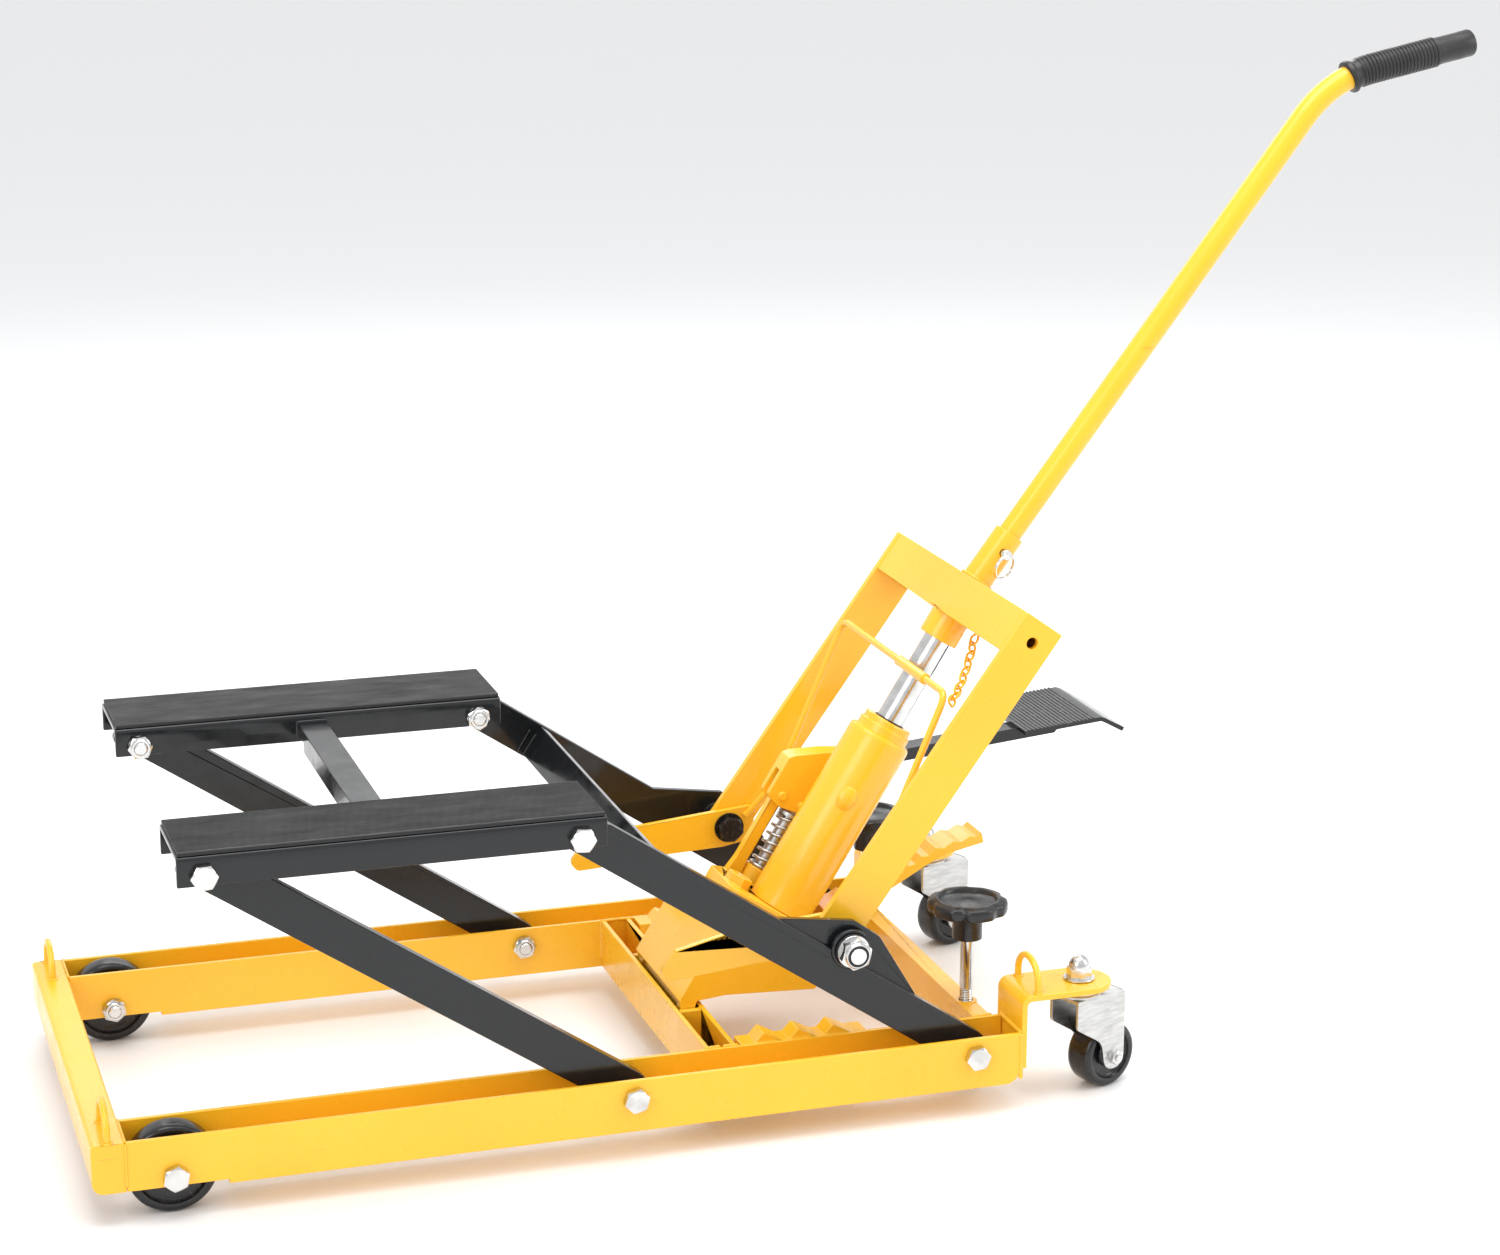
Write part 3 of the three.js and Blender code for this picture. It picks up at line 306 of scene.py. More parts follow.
# %% Finish helpers
def new_finish(name, color, metallic=0.0, roughness=0.4):
    finish = bpy.data.materials.new(name)
    finish.use_nodes = True
    tree = finish.node_tree
    surface = tree.nodes["Principled BSDF"]
    surface.inputs["Base Color"].default_value = (*color, 1)
    surface.inputs["Metallic"].default_value = metallic
    surface.inputs["Roughness"].default_value = roughness
    return finish, tree, surface


def node(tree, kind, links=(), **settings):
    made = tree.nodes.new(kind)
    for key, value in settings.items():
        if hasattr(made, key):
            setattr(made, key, value)
        else:
            made.inputs[key.replace("_", " ").title()].default_value = value
    for socket, source in dict(links).items():
        tree.links.new(source, made.inputs[socket])
    return made


def noise(tree, scale, detail=3.0, stretch=(1, 1, 1), rough=0.5):
    place = node(tree, "ShaderNodeTexCoord")
    spread = node(tree, "ShaderNodeMapping", {"Vector": place.outputs["Object"]})
    spread.inputs["Scale"].default_value = stretch
    cloud = node(tree, "ShaderNodeTexNoise", {"Vector": spread.outputs["Vector"]})
    cloud.inputs["Scale"].default_value = scale
    cloud.inputs["Detail"].default_value = detail
    cloud.inputs["Roughness"].default_value = rough
    return cloud.outputs["Fac"]


def spread_to(tree, value, low, high, start=0.3, end=0.7):
    made = node(tree, "ShaderNodeMapRange", {"Value": value})
    for socket, number in zip(("From Min", "From Max", "To Min", "To Max"), (start, end, low, high)):
        made.inputs[socket].default_value = number
    return made.outputs["Result"]


def blend_colors(tree, share, first, second):
    made = node(tree, "ShaderNodeMix", {"Factor": share})
    made.data_type = "RGBA"
    for socket, color in (("A", first), ("B", second)):
        target = [i for i in made.inputs if i.name == socket and i.type == "RGBA"][0]
        if isinstance(color, tuple):
            target.default_value = (*color, 1)
        else:
            tree.links.new(color, target)
    return [o for o in made.outputs if o.type == "RGBA"][0]


def multiply(tree, first, second):
    made = node(tree, "ShaderNodeMath", operation="MULTIPLY")
    tree.links.new(first, made.inputs[0])
    tree.links.new(second, made.inputs[1])
    return made.outputs[0]


def bump(tree, surface, height, strength, depth):
    made = node(tree, "ShaderNodeBump", {"Height": height})
    made.inputs["Strength"].default_value = strength
    made.inputs["Distance"].default_value = depth
    tree.links.new(made.outputs["Normal"], surface.inputs["Normal"])


def edge_share(tree, radius=0.0016):
    """1 on worn corners and 0 on flat faces, from how far a rounded normal leans from the true one."""
    soft = node(tree, "ShaderNodeBevel", samples=6)
    soft.inputs["Radius"].default_value = radius
    true = node(tree, "ShaderNodeNewGeometry")
    dot = node(tree, "ShaderNodeVectorMath", operation="DOT_PRODUCT")
    tree.links.new(soft.outputs["Normal"], dot.inputs[0])
    tree.links.new(true.outputs["Normal"], dot.inputs[1])
    return spread_to(tree, dot.outputs["Value"], 1.0, 0.0, 0.86, 0.985)


# %% [markdown]
# Sprayed enamel is never perfectly even. It pools a little, so its colour drifts over a hand's
# width, it dries with a fine orange-peel ripple, and it chips first on its edges. The yellow is
# the jack's main colour, and its chips are few and small.

# %% Yellow enamel
yellow_enamel, tree, surface = new_finish("yellow_enamel", (0.93, 0.50, 0.02), roughness=0.3)
drift = spread_to(tree, noise(tree, 7, 2), 0.0, 1.0, 0.32, 0.68)
paint = blend_colors(tree, drift, (0.95, 0.515, 0.021), (0.90, 0.468, 0.016))
chip_spots = spread_to(tree, noise(tree, 90, 4, rough=0.65), 0.0, 1.0, 0.66, 0.70)
chips = multiply(tree, edge_share(tree), chip_spots)
hairlines = spread_to(tree, noise(tree, 46, 2, (0.35, 1, 9), 0.6), 0.0, 0.75, 0.735, 0.755)
handled = spread_to(tree, noise(tree, 9, 2), 0.0, 1.0, 0.5, 0.58)
scuffed = blend_colors(tree, multiply(tree, hairlines, handled), paint, (0.42, 0.20, 0.03))
chipped = blend_colors(tree, chips, scuffed, (0.10, 0.075, 0.05))
tree.links.new(chipped, surface.inputs["Base Color"])
tree.links.new(spread_to(tree, noise(tree, 26, 5), 0.20, 0.36), surface.inputs["Roughness"])
surface.inputs["Coat Weight"].default_value = 0.25
surface.inputs["Coat Roughness"].default_value = 0.12
bump(tree, surface, noise(tree, 620, 2), 0.10, 0.0004)

# %% [markdown]
# The black enamel on arms and saddles is a deeper gloss. Its clear top layer mirrors the room,
# and under it fine dust and faint rub marks change only how sharp that mirror is.

# %% Black enamel
black_enamel, tree, surface = new_finish("black_enamel", (0.010, 0.011, 0.012), roughness=0.22)
rubs = noise(tree, 34, 6, (1, 1, 1), 0.7)
tree.links.new(spread_to(tree, rubs, 0.10, 0.34, 0.35, 0.75), surface.inputs["Roughness"])
dust = spread_to(tree, noise(tree, 900, 2), 0.0, 1.0, 0.66, 0.72)
dusty = blend_colors(tree, dust, (0.009, 0.010, 0.011), (0.020, 0.021, 0.022))
wear_spots = spread_to(tree, noise(tree, 140, 4), 0, 1, 0.60, 0.66)
worn_edges = multiply(tree, edge_share(tree), wear_spots)
worn = blend_colors(tree, worn_edges, dusty, (0.13, 0.125, 0.12))
tree.links.new(worn, surface.inputs["Base Color"])
surface.inputs["Specular IOR Level"].default_value = 0.36
surface.inputs["Coat Weight"].default_value = 0.22
surface.inputs["Coat Roughness"].default_value = 0.04
bump(tree, surface, noise(tree, 420, 2), 0.07, 0.0004)

# %% [markdown]
# Bolts, the ram's rod and the pin are plated bright. Zinc plating on forks and springs is duller
# and keeps the faint lines that it was brushed with. Blackened steel is steel again, only dark and oily.

# %% Plated metal
bright_plating, tree, surface = new_finish("bright_plating", (0.78, 0.78, 0.77), 1.0, 0.16)
scratches = noise(tree, 420, 4, (1, 1, 6), 0.6)
tree.links.new(spread_to(tree, scratches, 0.09, 0.27), surface.inputs["Roughness"])
# Darker patches in the plating's colour: painted dark reflections that give the bright metal contrast, with some
# tarnish.
painted_reflection_and_tarnish = spread_to(tree, noise(tree, 60, 4), 0, 1, 0.45, 0.75)
plating_with_painted_reflections = blend_colors(tree, painted_reflection_and_tarnish, (0.70, 0.70, 0.69), (0.46, 0.455, 0.44))
tree.links.new(plating_with_painted_reflections, surface.inputs["Base Color"])
bump(tree, surface, scratches, 0.05, 0.0002)

zinc_plating, tree, surface = new_finish("zinc_plating", (0.62, 0.62, 0.60), 1.0, 0.34)
brushing = spread_to(tree, noise(tree, 160, 4, (0.25, 1, 2.5), 0.6), 0.0, 1.0, 0.35, 0.65)
brushed = blend_colors(tree, brushing, (0.60, 0.60, 0.59), (0.46, 0.46, 0.45))
tree.links.new(brushed, surface.inputs["Base Color"])
tree.links.new(spread_to(tree, noise(tree, 75, 5), 0.24, 0.46), surface.inputs["Roughness"])
bump(tree, surface, noise(tree, 500, 3), 0.08, 0.0003)

black_oxide, tree, surface = new_finish("black_oxide", (0.020, 0.020, 0.021), 0.6, 0.35)
oily = spread_to(tree, noise(tree, 300, 4), 0, 1, 0.5, 0.7)
oiled = blend_colors(tree, oily, (0.016, 0.016, 0.017), (0.05, 0.048, 0.045))
tree.links.new(oiled, surface.inputs["Base Color"])
tree.links.new(spread_to(tree, noise(tree, 130, 4), 0.26, 0.45), surface.inputs["Roughness"])
bump(tree, surface, noise(tree, 700, 3), 0.1, 0.0003)

# %% [markdown]
# Rubber soaks up light, and shines only where boots and frames have rubbed its ribs. The moulded
# wheels and knobs are harder and take a gloss with a fine mould texture.

# %% Rubber and plastic
pad_rubber, tree, surface = new_finish("pad_rubber", (0.012, 0.012, 0.013), roughness=0.55)
rubbed = noise(tree, 55, 6, (0.35, 1, 1), 0.7)
tree.links.new(spread_to(tree, rubbed, 0.34, 0.66), surface.inputs["Roughness"])
residue = spread_to(tree, noise(tree, 120, 5, (0.3, 1, 1), 0.75), 0, 1, 0.70, 0.76)
residue = multiply(tree, residue, edge_share(tree, 0.002))
stained = blend_colors(tree, residue, (0.008, 0.008, 0.009), (0.20, 0.13, 0.07))
tree.links.new(stained, surface.inputs["Base Color"])
bump(tree, surface, noise(tree, 1300, 3), 0.22, 0.0004)

grip_rubber, tree, surface = new_finish("grip_rubber", (0.011, 0.011, 0.012), roughness=0.45)
tree.links.new(spread_to(tree, noise(tree, 80, 5), 0.30, 0.52), surface.inputs["Roughness"])
handling = spread_to(tree, noise(tree, 40, 4), 0, 1)
handled_rubber = blend_colors(tree, handling, (0.009, 0.009, 0.010), (0.017, 0.017, 0.018))
tree.links.new(handled_rubber, surface.inputs["Base Color"])
bump(tree, surface, noise(tree, 1600, 2), 0.15, 0.0003)

wheel_plastic, tree, surface = new_finish("wheel_plastic", (0.008, 0.008, 0.009), roughness=0.2)
tree.links.new(spread_to(tree, noise(tree, 60, 6), 0.12, 0.34), surface.inputs["Roughness"])
grit = spread_to(tree, noise(tree, 260, 5), 0, 1, 0.60, 0.72)
gritty = blend_colors(tree, grit, (0.008, 0.008, 0.009), (0.035, 0.033, 0.031))
tree.links.new(gritty, surface.inputs["Base Color"])
bump(tree, surface, noise(tree, 800, 3), 0.10, 0.0003)

knob_plastic, tree, surface = new_finish("knob_plastic", (0.010, 0.010, 0.011), roughness=0.3)
tree.links.new(spread_to(tree, noise(tree, 90, 4), 0.20, 0.38), surface.inputs["Roughness"])
specks = spread_to(tree, noise(tree, 300, 4), 0, 1, 0.6, 0.75)
speckled = blend_colors(tree, specks, (0.010, 0.010, 0.011), (0.03, 0.03, 0.03))
tree.links.new(speckled, surface.inputs["Base Color"])
bump(tree, surface, noise(tree, 1500, 2), 0.18, 0.0003)

floor_paint, tree, surface = new_finish("floor_paint", (0.88, 0.88, 0.88), roughness=0.55)
floor_shade = blend_colors(tree, noise(tree, 3, 2), (0.875, 0.878, 0.88), (0.885, 0.885, 0.885))
tree.links.new(floor_shade, surface.inputs["Base Color"])
floor_mesh.materials.append(floor_paint)
FINISHES = {
    "yellow_paint": yellow_enamel,
    "black_paint": black_enamel,
    "bright_plating": bright_plating,
    "zinc_plating": zinc_plating,
    "blackened_steel": black_oxide,
    "rubber": pad_rubber,
    "grip_rubber": grip_rubber,
    "wheel_plastic": wheel_plastic,
    "knob_plastic": knob_plastic,
}
print("finishes:", sorted(FINISHES))

# %% [markdown]
# No pressed or sawn part has a perfectly sharp edge, and the thin bright line where a rounded
# edge catches the light is what makes metal look solid. The CAD meshes are left as they are, and
# modifiers do the work: weld the seams, merge flat triangles, then round the edges.

# %% Paint the CAD parts and round their edges
for entry in frame["record"]["subparts"]:
    part = nodes[entry["node"]]
    part.data.materials.clear()
    part.data.materials.append(FINISHES[entry["material_slot"]])


def round_edges(name, width, segments=2, angle=33):
    part = nodes[name]
    for attribute in [a for a in part.data.attributes if a.name == "custom_normal"]:
        part.data.attributes.remove(attribute)
    for polygon in part.data.polygons:
        polygon.use_smooth = True
    weld_seams = part.modifiers.new("weld_seams", "WELD")
    weld_seams.merge_threshold = 0.00002
    merge_flats = part.modifiers.new("merge_flats", "DECIMATE")
    merge_flats.decimate_type = "DISSOLVE"
    merge_flats.angle_limit = math.radians(0.6)
    rounding = part.modifiers.new("round_edges", "BEVEL")
    rounding.width = width / 1000
    rounding.segments = segments
    rounding.limit_method = "ANGLE"
    rounding.angle_limit = math.radians(angle)
    rounding.use_clamp_overlap = False
    rounding.harden_normals = True


EDGE_MM = {
    "rail": 0.9, "front_crossbar": 0.9, "middle_crossbar": 0.9, "rear_crossbar": 0.8, "caster_bracket": 0.8,
    "caster_fork": 0.45, "front_arm": 0.9, "rear_arm": 0.9, "arm_brace": 0.7, "saddle": 0.9,
    "saddle_crossbar": 0.8, "yoke_leg": 0.8, "yoke_crossbar": 0.8, "lock_frame": 0.7, "ram_cradle": 0.8,
    "ram_base": 0.9, "pump_lever": 0.8, "release_pedal": 0.5, "pump_piston": 0.5,
}
rounded_parts = 0
for name in nodes:
    family = name.removesuffix("_near").removesuffix("_far")
    if family in EDGE_MM:
        round_edges(name, EDGE_MM[family])
        rounded_parts += 1
print("rounded parts:", rounded_parts)

# %% [markdown]
# Every pivot is a hex bolt with its head outside and a lock nut inside. The head has a washer
# face under it and cone-cut corners, and the nut ends in the round collar that holds its nylon
# ring. Each bolt is turned by its own amount, as a spanner leaves it.

# %% Hex bolts and lock nuts
BOLT_RADIUS = 4.9
SPANNER_SIZE = 17


def bolt_body(bm, space, head_face, nut_face, spin):
    tip = nut_face - 10
    shank = [(0, tip), (4.1, tip), (BOLT_RADIUS, tip + 0.8), (BOLT_RADIUS, head_face), (0, head_face)]
    turned(bm, shank, space, 32)
    washer_top = head_face + 0.9
    turned(bm, [(0, head_face + 0.3), (8.2, head_face + 0.3), (8.2, washer_top), (0, washer_top)], space)
    hexagon(bm, SPANNER_SIZE, head_face + 0.8, head_face + 6.8, space, spin)
    nut_top = nut_face - 0.3
    turned(bm, [(0, nut_top), (8.8, nut_top), (8.8, nut_face - 1.6), (0, nut_face - 1.6)], space)
    hexagon(bm, SPANNER_SIZE, nut_face - 6.9, nut_face - 1.5, space, spin * 1.7, both=True)
    collar = [(BOLT_RADIUS, 6.6), (7.6, 6.6), (7.6, 8.2), (7.0, 9.0), (5.6, 9.0), (BOLT_RADIUS, 8.4)]
    turned(bm, [(radius, nut_face - depth) for radius, depth in collar], space, ring=True)


BASE_HALF = 190
RAIL_INNER = 146
SADDLE_OUTER = 200
SADDLE_INNER = 119.5
FRONT_PIVOT_X, REAR_PIVOT_X, PIVOT_HEIGHT = 395, 663.5, 48.6
ARM_REACH, SADDLE_PIVOT_HEIGHT = 309.71, 257.03
PIVOTS = [
    ("wheel_bolt", 58.2, 33, BASE_HALF, RAIL_INNER),
    ("front_arm_bolt", FRONT_PIVOT_X, PIVOT_HEIGHT, BASE_HALF, RAIL_INNER),
    ("rear_arm_bolt", REAR_PIVOT_X, PIVOT_HEIGHT, BASE_HALF, RAIL_INNER),
    ("saddle_front_bolt", FRONT_PIVOT_X - ARM_REACH, SADDLE_PIVOT_HEIGHT, SADDLE_OUTER, SADDLE_INNER),
    ("saddle_rear_bolt", REAR_PIVOT_X - ARM_REACH, SADDLE_PIVOT_HEIGHT, SADDLE_OUTER, SADDLE_INNER),
]
made = 0
for family, x, z, head_face, nut_face in PIVOTS:
    for name, side in SIDES.items():
        bm = bmesh.new()
        bolt_body(bm, outward(x, z, side), head_face, nut_face, 0.35 + 0.47 * made)
        cad_name = f"{family}_{name}"
        add_piece(f"hex_{cad_name}", bm, bright_plating, body_of[cad_name], [cad_name], 28)
        made += 1
print("hex bolts:", made)

# %% [markdown]
# The yoke turns on two large stub bolts. Outside each arm is a washer and a tall chrome lock nut
# whose dark nylon ring shows round the bolt's end. Inside, an oily black hex head holds the leg.

# %% Yoke pivots
for name, side in SIDES.items():
    space = outward(*LIFT_PIVOT, side)
    bm = bmesh.new()
    turned(bm, [(0, 140.4), (6.9, 140.4), (6.9, 189.5), (6.2, 190.8), (0, 190.8)], space, 40)
    washer = [(7, 178.3), (12.4, 178.3), (12.6, 178.6), (12.6, 179.7), (12.4, 180), (7, 180)]
    turned(bm, washer, space, ring=True)
    hexagon(bm, 21.4, 180.0, 188.2, space, 0.3 if side < 0 else 0.9)
    nut_collar = [(7.6, 187.8), (10.0, 187.8), (10.0, 189.2), (9.2, 190.4), (8.4, 190.4), (7.6, 189.8)]
    turned(bm, nut_collar, space, ring=True)
    lift_bolt = f"lift_bolt_{name}"
    add_piece(f"lift_nut_{name}", bm, bright_plating, "rear_arms", [lift_bolt], 28)
    bm = bmesh.new()
    turned(bm, [(6.95, 188.6), (7.9, 188.6), (8.6, 190.0), (8.2, 190.5), (6.95, 190.5)], space, ring=True)
    add_piece(f"lift_nut_ring_{name}", bm, knob_plastic, "rear_arms")
    bm = bmesh.new()
    turned(bm, [(0, 127.2), (6.9, 127.2), (6.9, 139.6), (0, 139.6)], space, 40)
    turned(bm, [(0, 126.6), (12.5, 126.6), (12.5, 128.1), (0, 128.1)], space, 48)
    inward = space @ Matrix.Translation((0, 0, 126.8)) @ Matrix.Rotation(math.pi, 4, "X")
    hexagon(bm, 19.4, 0, 7, inward, 0.2 if side < 0 else 0.75)
    add_piece(f"inner_hex_{name}", bm, black_oxide, "yoke", [f"yoke_bolt_{name}"], 28)

# %% [markdown]
# The base rolls on two fixed wheels in front and two casters behind. Each wheel is one turned
# moulding: a hub, a thin web, and a rim whose tread is slightly crowned so that it rolls freely.

# %% Wheels
def wheel_body(bm, radius, width, hub, bore, space):
    half = width / 2
    flank = [
        (bore, 0.6), (hub, 0.6), (hub + 0.8, 1.4), (hub + 1.6, 3.2),
        (radius - 9, 3.6), (radius - 7.4, 2.4), (radius - 6.6, 0.5), (radius - 5, 0),
        (radius - 3, 0.1), (radius - 1.2, 1.1), (radius - 0.3, 3), (radius, 6),
    ]
    lower = [(r, inset - half) for r, inset in flank]
    upper = [(r, half - inset) for r, inset in reversed(flank)]
    turned(bm, lower + upper, space, 96, ring=True)


def joint_space(name):
    """A space in millimetres with its origin on a joint's axis and its Z along it."""
    joint = joints[name]
    turn = Vector(joint["axis"]).to_track_quat("Z", "X").to_matrix().to_4x4()
    return Matrix.Translation(Vector(joint["pos_m"])) @ turn @ MM


for name in SIDES:
    bm = bmesh.new()
    wheel_body(bm, 33, 20, 11, 5.4, joint_space(f"front_wheel_spin_{name}"))
    add_piece(f"moulded_front_wheel_{name}", bm, wheel_plastic, f"front_wheel_{name}",
              [f"front_wheel_{name}"], 40)
    bm = bmesh.new()
    wheel_body(bm, 26, 23.4, 9, 4.4, joint_space(f"caster_spin_{name}"))
    add_piece(f"moulded_caster_wheel_{name}", bm, wheel_plastic, f"caster_wheel_{name}",
              [f"caster_wheel_{name}"], 40)
wheel_low, wheel_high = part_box("front_wheel_near")
print("wheel diameter:", round((wheel_high.z - wheel_low.z) * 1000, 1), "mm")

# %% [markdown]
# A caster hangs from a kingpin with an acorn nut. Between tab and fork runs a pressed ball race,
# and the wheel's axle is a short bolt with its own small nut.

# %% Casters
SWIVEL_HEIGHT = 81
for name in SIDES:
    swivel_place = Vector(joints[f"caster_swivel_{name}"]["pos_m"])
    kingpin = Matrix.Translation(swivel_place) @ MM @ Matrix.Translation((0, 0, -SWIVEL_HEIGHT))
    bm = bmesh.new()
    pin_head = [(0, 73.6), (7.9, 73.6), (8.3, 74.2), (8.3, 76.6)]
    pin_shank = [(4.9, 76.6), (4.9, 92.1)]
    nut_flange = [(11.9, 92.1), (12.2, 92.5), (12.2, 93.3), (11.9, 93.7), (0, 93.7)]
    turned(bm, pin_head + pin_shank + nut_flange, kingpin)
    hexagon(bm, 17, 93.5, 102, kingpin, 0.5)
    slopes = [math.radians(degrees) for degrees in range(0, 90, 9)]
    dome = [(8.3 * math.cos(a), 101.8 + 9.3 * math.sin(a)) for a in slopes]
    turned(bm, [(0, 101), (8.3, 101)] + dome + [(0, 111.1)], kingpin)
    add_piece(f"acorn_nut_{name}", bm, bright_plating, "base", [f"kingpin_{name}"], 28)
    bm = bmesh.new()
    race = [(12.5, 80.2), (17.6, 80.2), (18.0, 80.8), (18.0, 82.2), (17.2, 83.4), (15.0, 84.4), (12.5, 84.6)]
    turned(bm, race, kingpin, 64, ring=True)
    add_piece(f"ball_race_{name}", bm, zinc_plating, f"caster_swivel_{name}")
    axle = joint_space(f"caster_spin_{name}")
    bm = bmesh.new()
    hexagon(bm, 10.6, 15.6, 19.6, axle, 0.4)
    turned(bm, [(0, 19.4), (3.1, 19.4), (3.1, 21.2), (2.6, 21.8), (0, 21.8)], axle, 32)
    other = axle @ Matrix.Rotation(math.pi, 4, "X")
    hexagon(bm, 10.6, 15.6, 19.6, other, 0.8)
    turned(bm, [(0, 19.4), (3.1, 19.4), (3.1, 20.4), (2.6, 21.0), (0, 21.0)], other, 32)
    add_piece(f"caster_axle_{name}", bm, bright_plating, f"caster_swivel_{name}", sharp=28)

# %% [markdown]
# A floor lock is a screw with a round knob. The knob is moulded with six shallow finger notches
# and a dished top, and the screw below carries a real helical thread, made by pulling the radius
# of a fine grid in and out as the thread goes round.

# %% Floor locks
def threaded_rod(bm, radius, depth, pitch, low, high, space, around=28, per_turn=6):
    rows = []
    steps = int((high - low) / pitch * per_turn)
    for i in range(steps + 1):
        z = low + (high - low) * i / steps
        row = []
        for k, angle in enumerate(full_circle(around)):
            phase = (z / pitch - k / around) % 1.0
            r = radius - depth * (1 - abs(2 * phase - 1))
            row.append(bm.verts.new(space @ on_circle(r, angle, z)))
        rows.append(row)
    stitch(bm, rows)


def knob_radius(angle, rim):
    notch = max(0.0, math.cos(6 * angle)) ** 2
    return rim - 2.3 * notch


# Each ring of the knob is its rim radius, its height, and how much of the notches shows there.
KNOB_RINGS = [
    (11.6, 115.3, 0), (11.7, 116.2, 0), (11.7, 131, 0), (13, 134, 0), (17, 135.8, 0.3),
    (27.5, 136.2, 1), (30.2, 137.4, 1), (31.0, 139.5, 1), (31.0, 144.0, 1), (30.3, 145.9, 1),
    (28.6, 146.9, 0.9), (26.4, 147.2, 0.55), (25.2, 147.9, 0.3), (23.6, 148.0, 0.1), (22.6, 147.4, 0),
    (21.6, 145.2, 0), (18, 144.2, 0), (9, 143.7, 0), (6.4, 144.3, 0), (3, 144.6, 0),
]


def knob_body(bm, space):
    rows = []
    for rim, z, lobes in KNOB_RINGS:
        row = []
        for angle in full_circle(120):
            r = rim + (knob_radius(angle, rim) - rim) * lobes
            row.append(bm.verts.new(space @ on_circle(r, angle, z)))
        rows.append(row)
    stitch(bm, rows)


SCREW_X, SCREW_Y = 684.8, 113
for name, side in SIDES.items():
    stem = drawing @ Matrix.Translation((SCREW_X, side * SCREW_Y, 0))
    bm = bmesh.new()
    knob_body(bm, stem)
    knob_node = f"hand_knob_{name}"
    add_piece(f"moulded_knob_{name}", bm, knob_plastic, f"knob_{name}", [knob_node], 40)
    bm = bmesh.new()
    foot = [(0, 8), (12.4, 8), (13, 8.6), (13, 10.6), (12.2, 11.6), (7.2, 13.2), (5.1, 14.6), (4.3, 15.2)]
    turned(bm, foot + [(0, 15.2)], stem, 56)
    threaded_rod(bm, 5.15, 0.75, 2.0, 14.6, 74, stem)
    turned(bm, [(0, 73.5), (4.6, 73.5), (5.0, 74.2), (5.0, 126), (0, 126)], stem, 40)
    add_piece(f"lock_screw_thread_{name}", bm, bright_plating, f"floor_lock_{name}",
              [f"lock_screw_{name}"], 50)
    bm = bmesh.new()
    turned(bm, [(5.7, 62.7), (8.8, 62.7), (8.8, 63.4), (8.2, 63.8), (5.7, 63.8)], stem, 48, ring=True)
    turned(bm, [(5.7, 16.2), (8.3, 16.2), (9.0, 16.9), (9.0, 22.4), (5.7, 22.4)], stem, 6, ring=True)
    add_piece(f"screw_nut_{name}", bm, yellow_enamel, "base", sharp=28)

# %% [markdown]
# The handle is bent from one length of tube. The CAD tube is a little coarse in its bend, so it is
# swept again with a finer circle. Its end is plugged into the socket and held by a pull pin.

# %% Handle tube and socket
YOKE_TOP = 282
TUBE_RADIUS = 0.0096
TUBE_BEND = 0.098
GRIP_RISE = math.radians(12)
handle_foot = yoke_space @ Vector((0, 0, YOKE_TOP))
handle_corner = drawing @ Vector((1022.4, 0, 753.8))
handle_lean = math.atan2(handle_corner.x - handle_foot.x, handle_corner.z - handle_foot.z)
handle_space = Matrix.Translation(handle_foot) @ Matrix.Rotation(handle_lean, 4, "Y") @ MM
grip_way = Vector((math.cos(GRIP_RISE), 0, math.sin(GRIP_RISE)))
tube_start = handle_space @ Vector((0, 0, 4.3))
tube_end = handle_corner + grip_way * 0.1216
handle_line = rounded_line([tube_start, handle_corner, tube_end], TUBE_BEND, 24)
bm = bmesh.new()
swept(bm, handle_line, TUBE_RADIUS, Matrix.Identity(4), 40)
add_piece("bent_handle", bm, yellow_enamel, "yoke", ["handle_tube"], 50)
handle_length = sum((b - a).length for a, b in zip(handle_line, handle_line[1:]))
print("handle tube length:", round(handle_length * 1000), "mm")

# %% [markdown]
# The grip is moulded rubber: a collar to stop the hand, a ribbed length to hold, and a plain end.
# It starts in the bend, so its rings are set along the tube's own curve, each with its radius.

# %% Handle grip
GRIP_LENGTH = 111


def along_line(points, distance):
    """The place a given distance (m) along a line of points, measured from its first point."""
    for before, after in zip(points, points[1:]):
        step = (after - before).length
        if distance <= step:
            return before.lerp(after, distance / step)
        distance -= step
    return points[-1]


grip_tip = handle_corner + grip_way * 0.1259
grip_line = handle_line[:-1] + [grip_tip]
full_length = sum((b - a).length for a, b in zip(grip_line, grip_line[1:]))
profile = [(0, 12.6), (0.5, 13.1), (1.3, 13.3), (3.2, 13.3), (4.1, 12.8), (5.0, 11.6), (6, 11.2), (9, 11.2)]
for rib in range(22):
    z = 10 + rib * 3.1
    rib_shape = [(0, 11.1), (0.4, 11.8), (0.95, 12.05), (1.7, 12.05), (2.2, 11.8), (2.6, 11.1)]
    profile += [(z + rise, radius) for rise, radius in rib_shape]
profile += [(79.5, 11.1), (81, 10.8), (95, 10.8), (108.6, 10.8), (110.0, 10.3), (110.7, 9.5), (111, 8.3)]
places = [along_line(grip_line, full_length - (GRIP_LENGTH - z) / 1000) for z, _ in profile]
bm = bmesh.new()
swept(bm, places, [radius / 1000 for _, radius in profile], Matrix.Identity(4), 56)
add_piece("ribbed_grip", bm, grip_rubber, "yoke", ["handle_grip"], 60)

# %% [markdown]
# The pull pin keeps the handle in its socket. Its ring is spring wire wound twice, so it is drawn
# as a short helix and not as a plain ring.

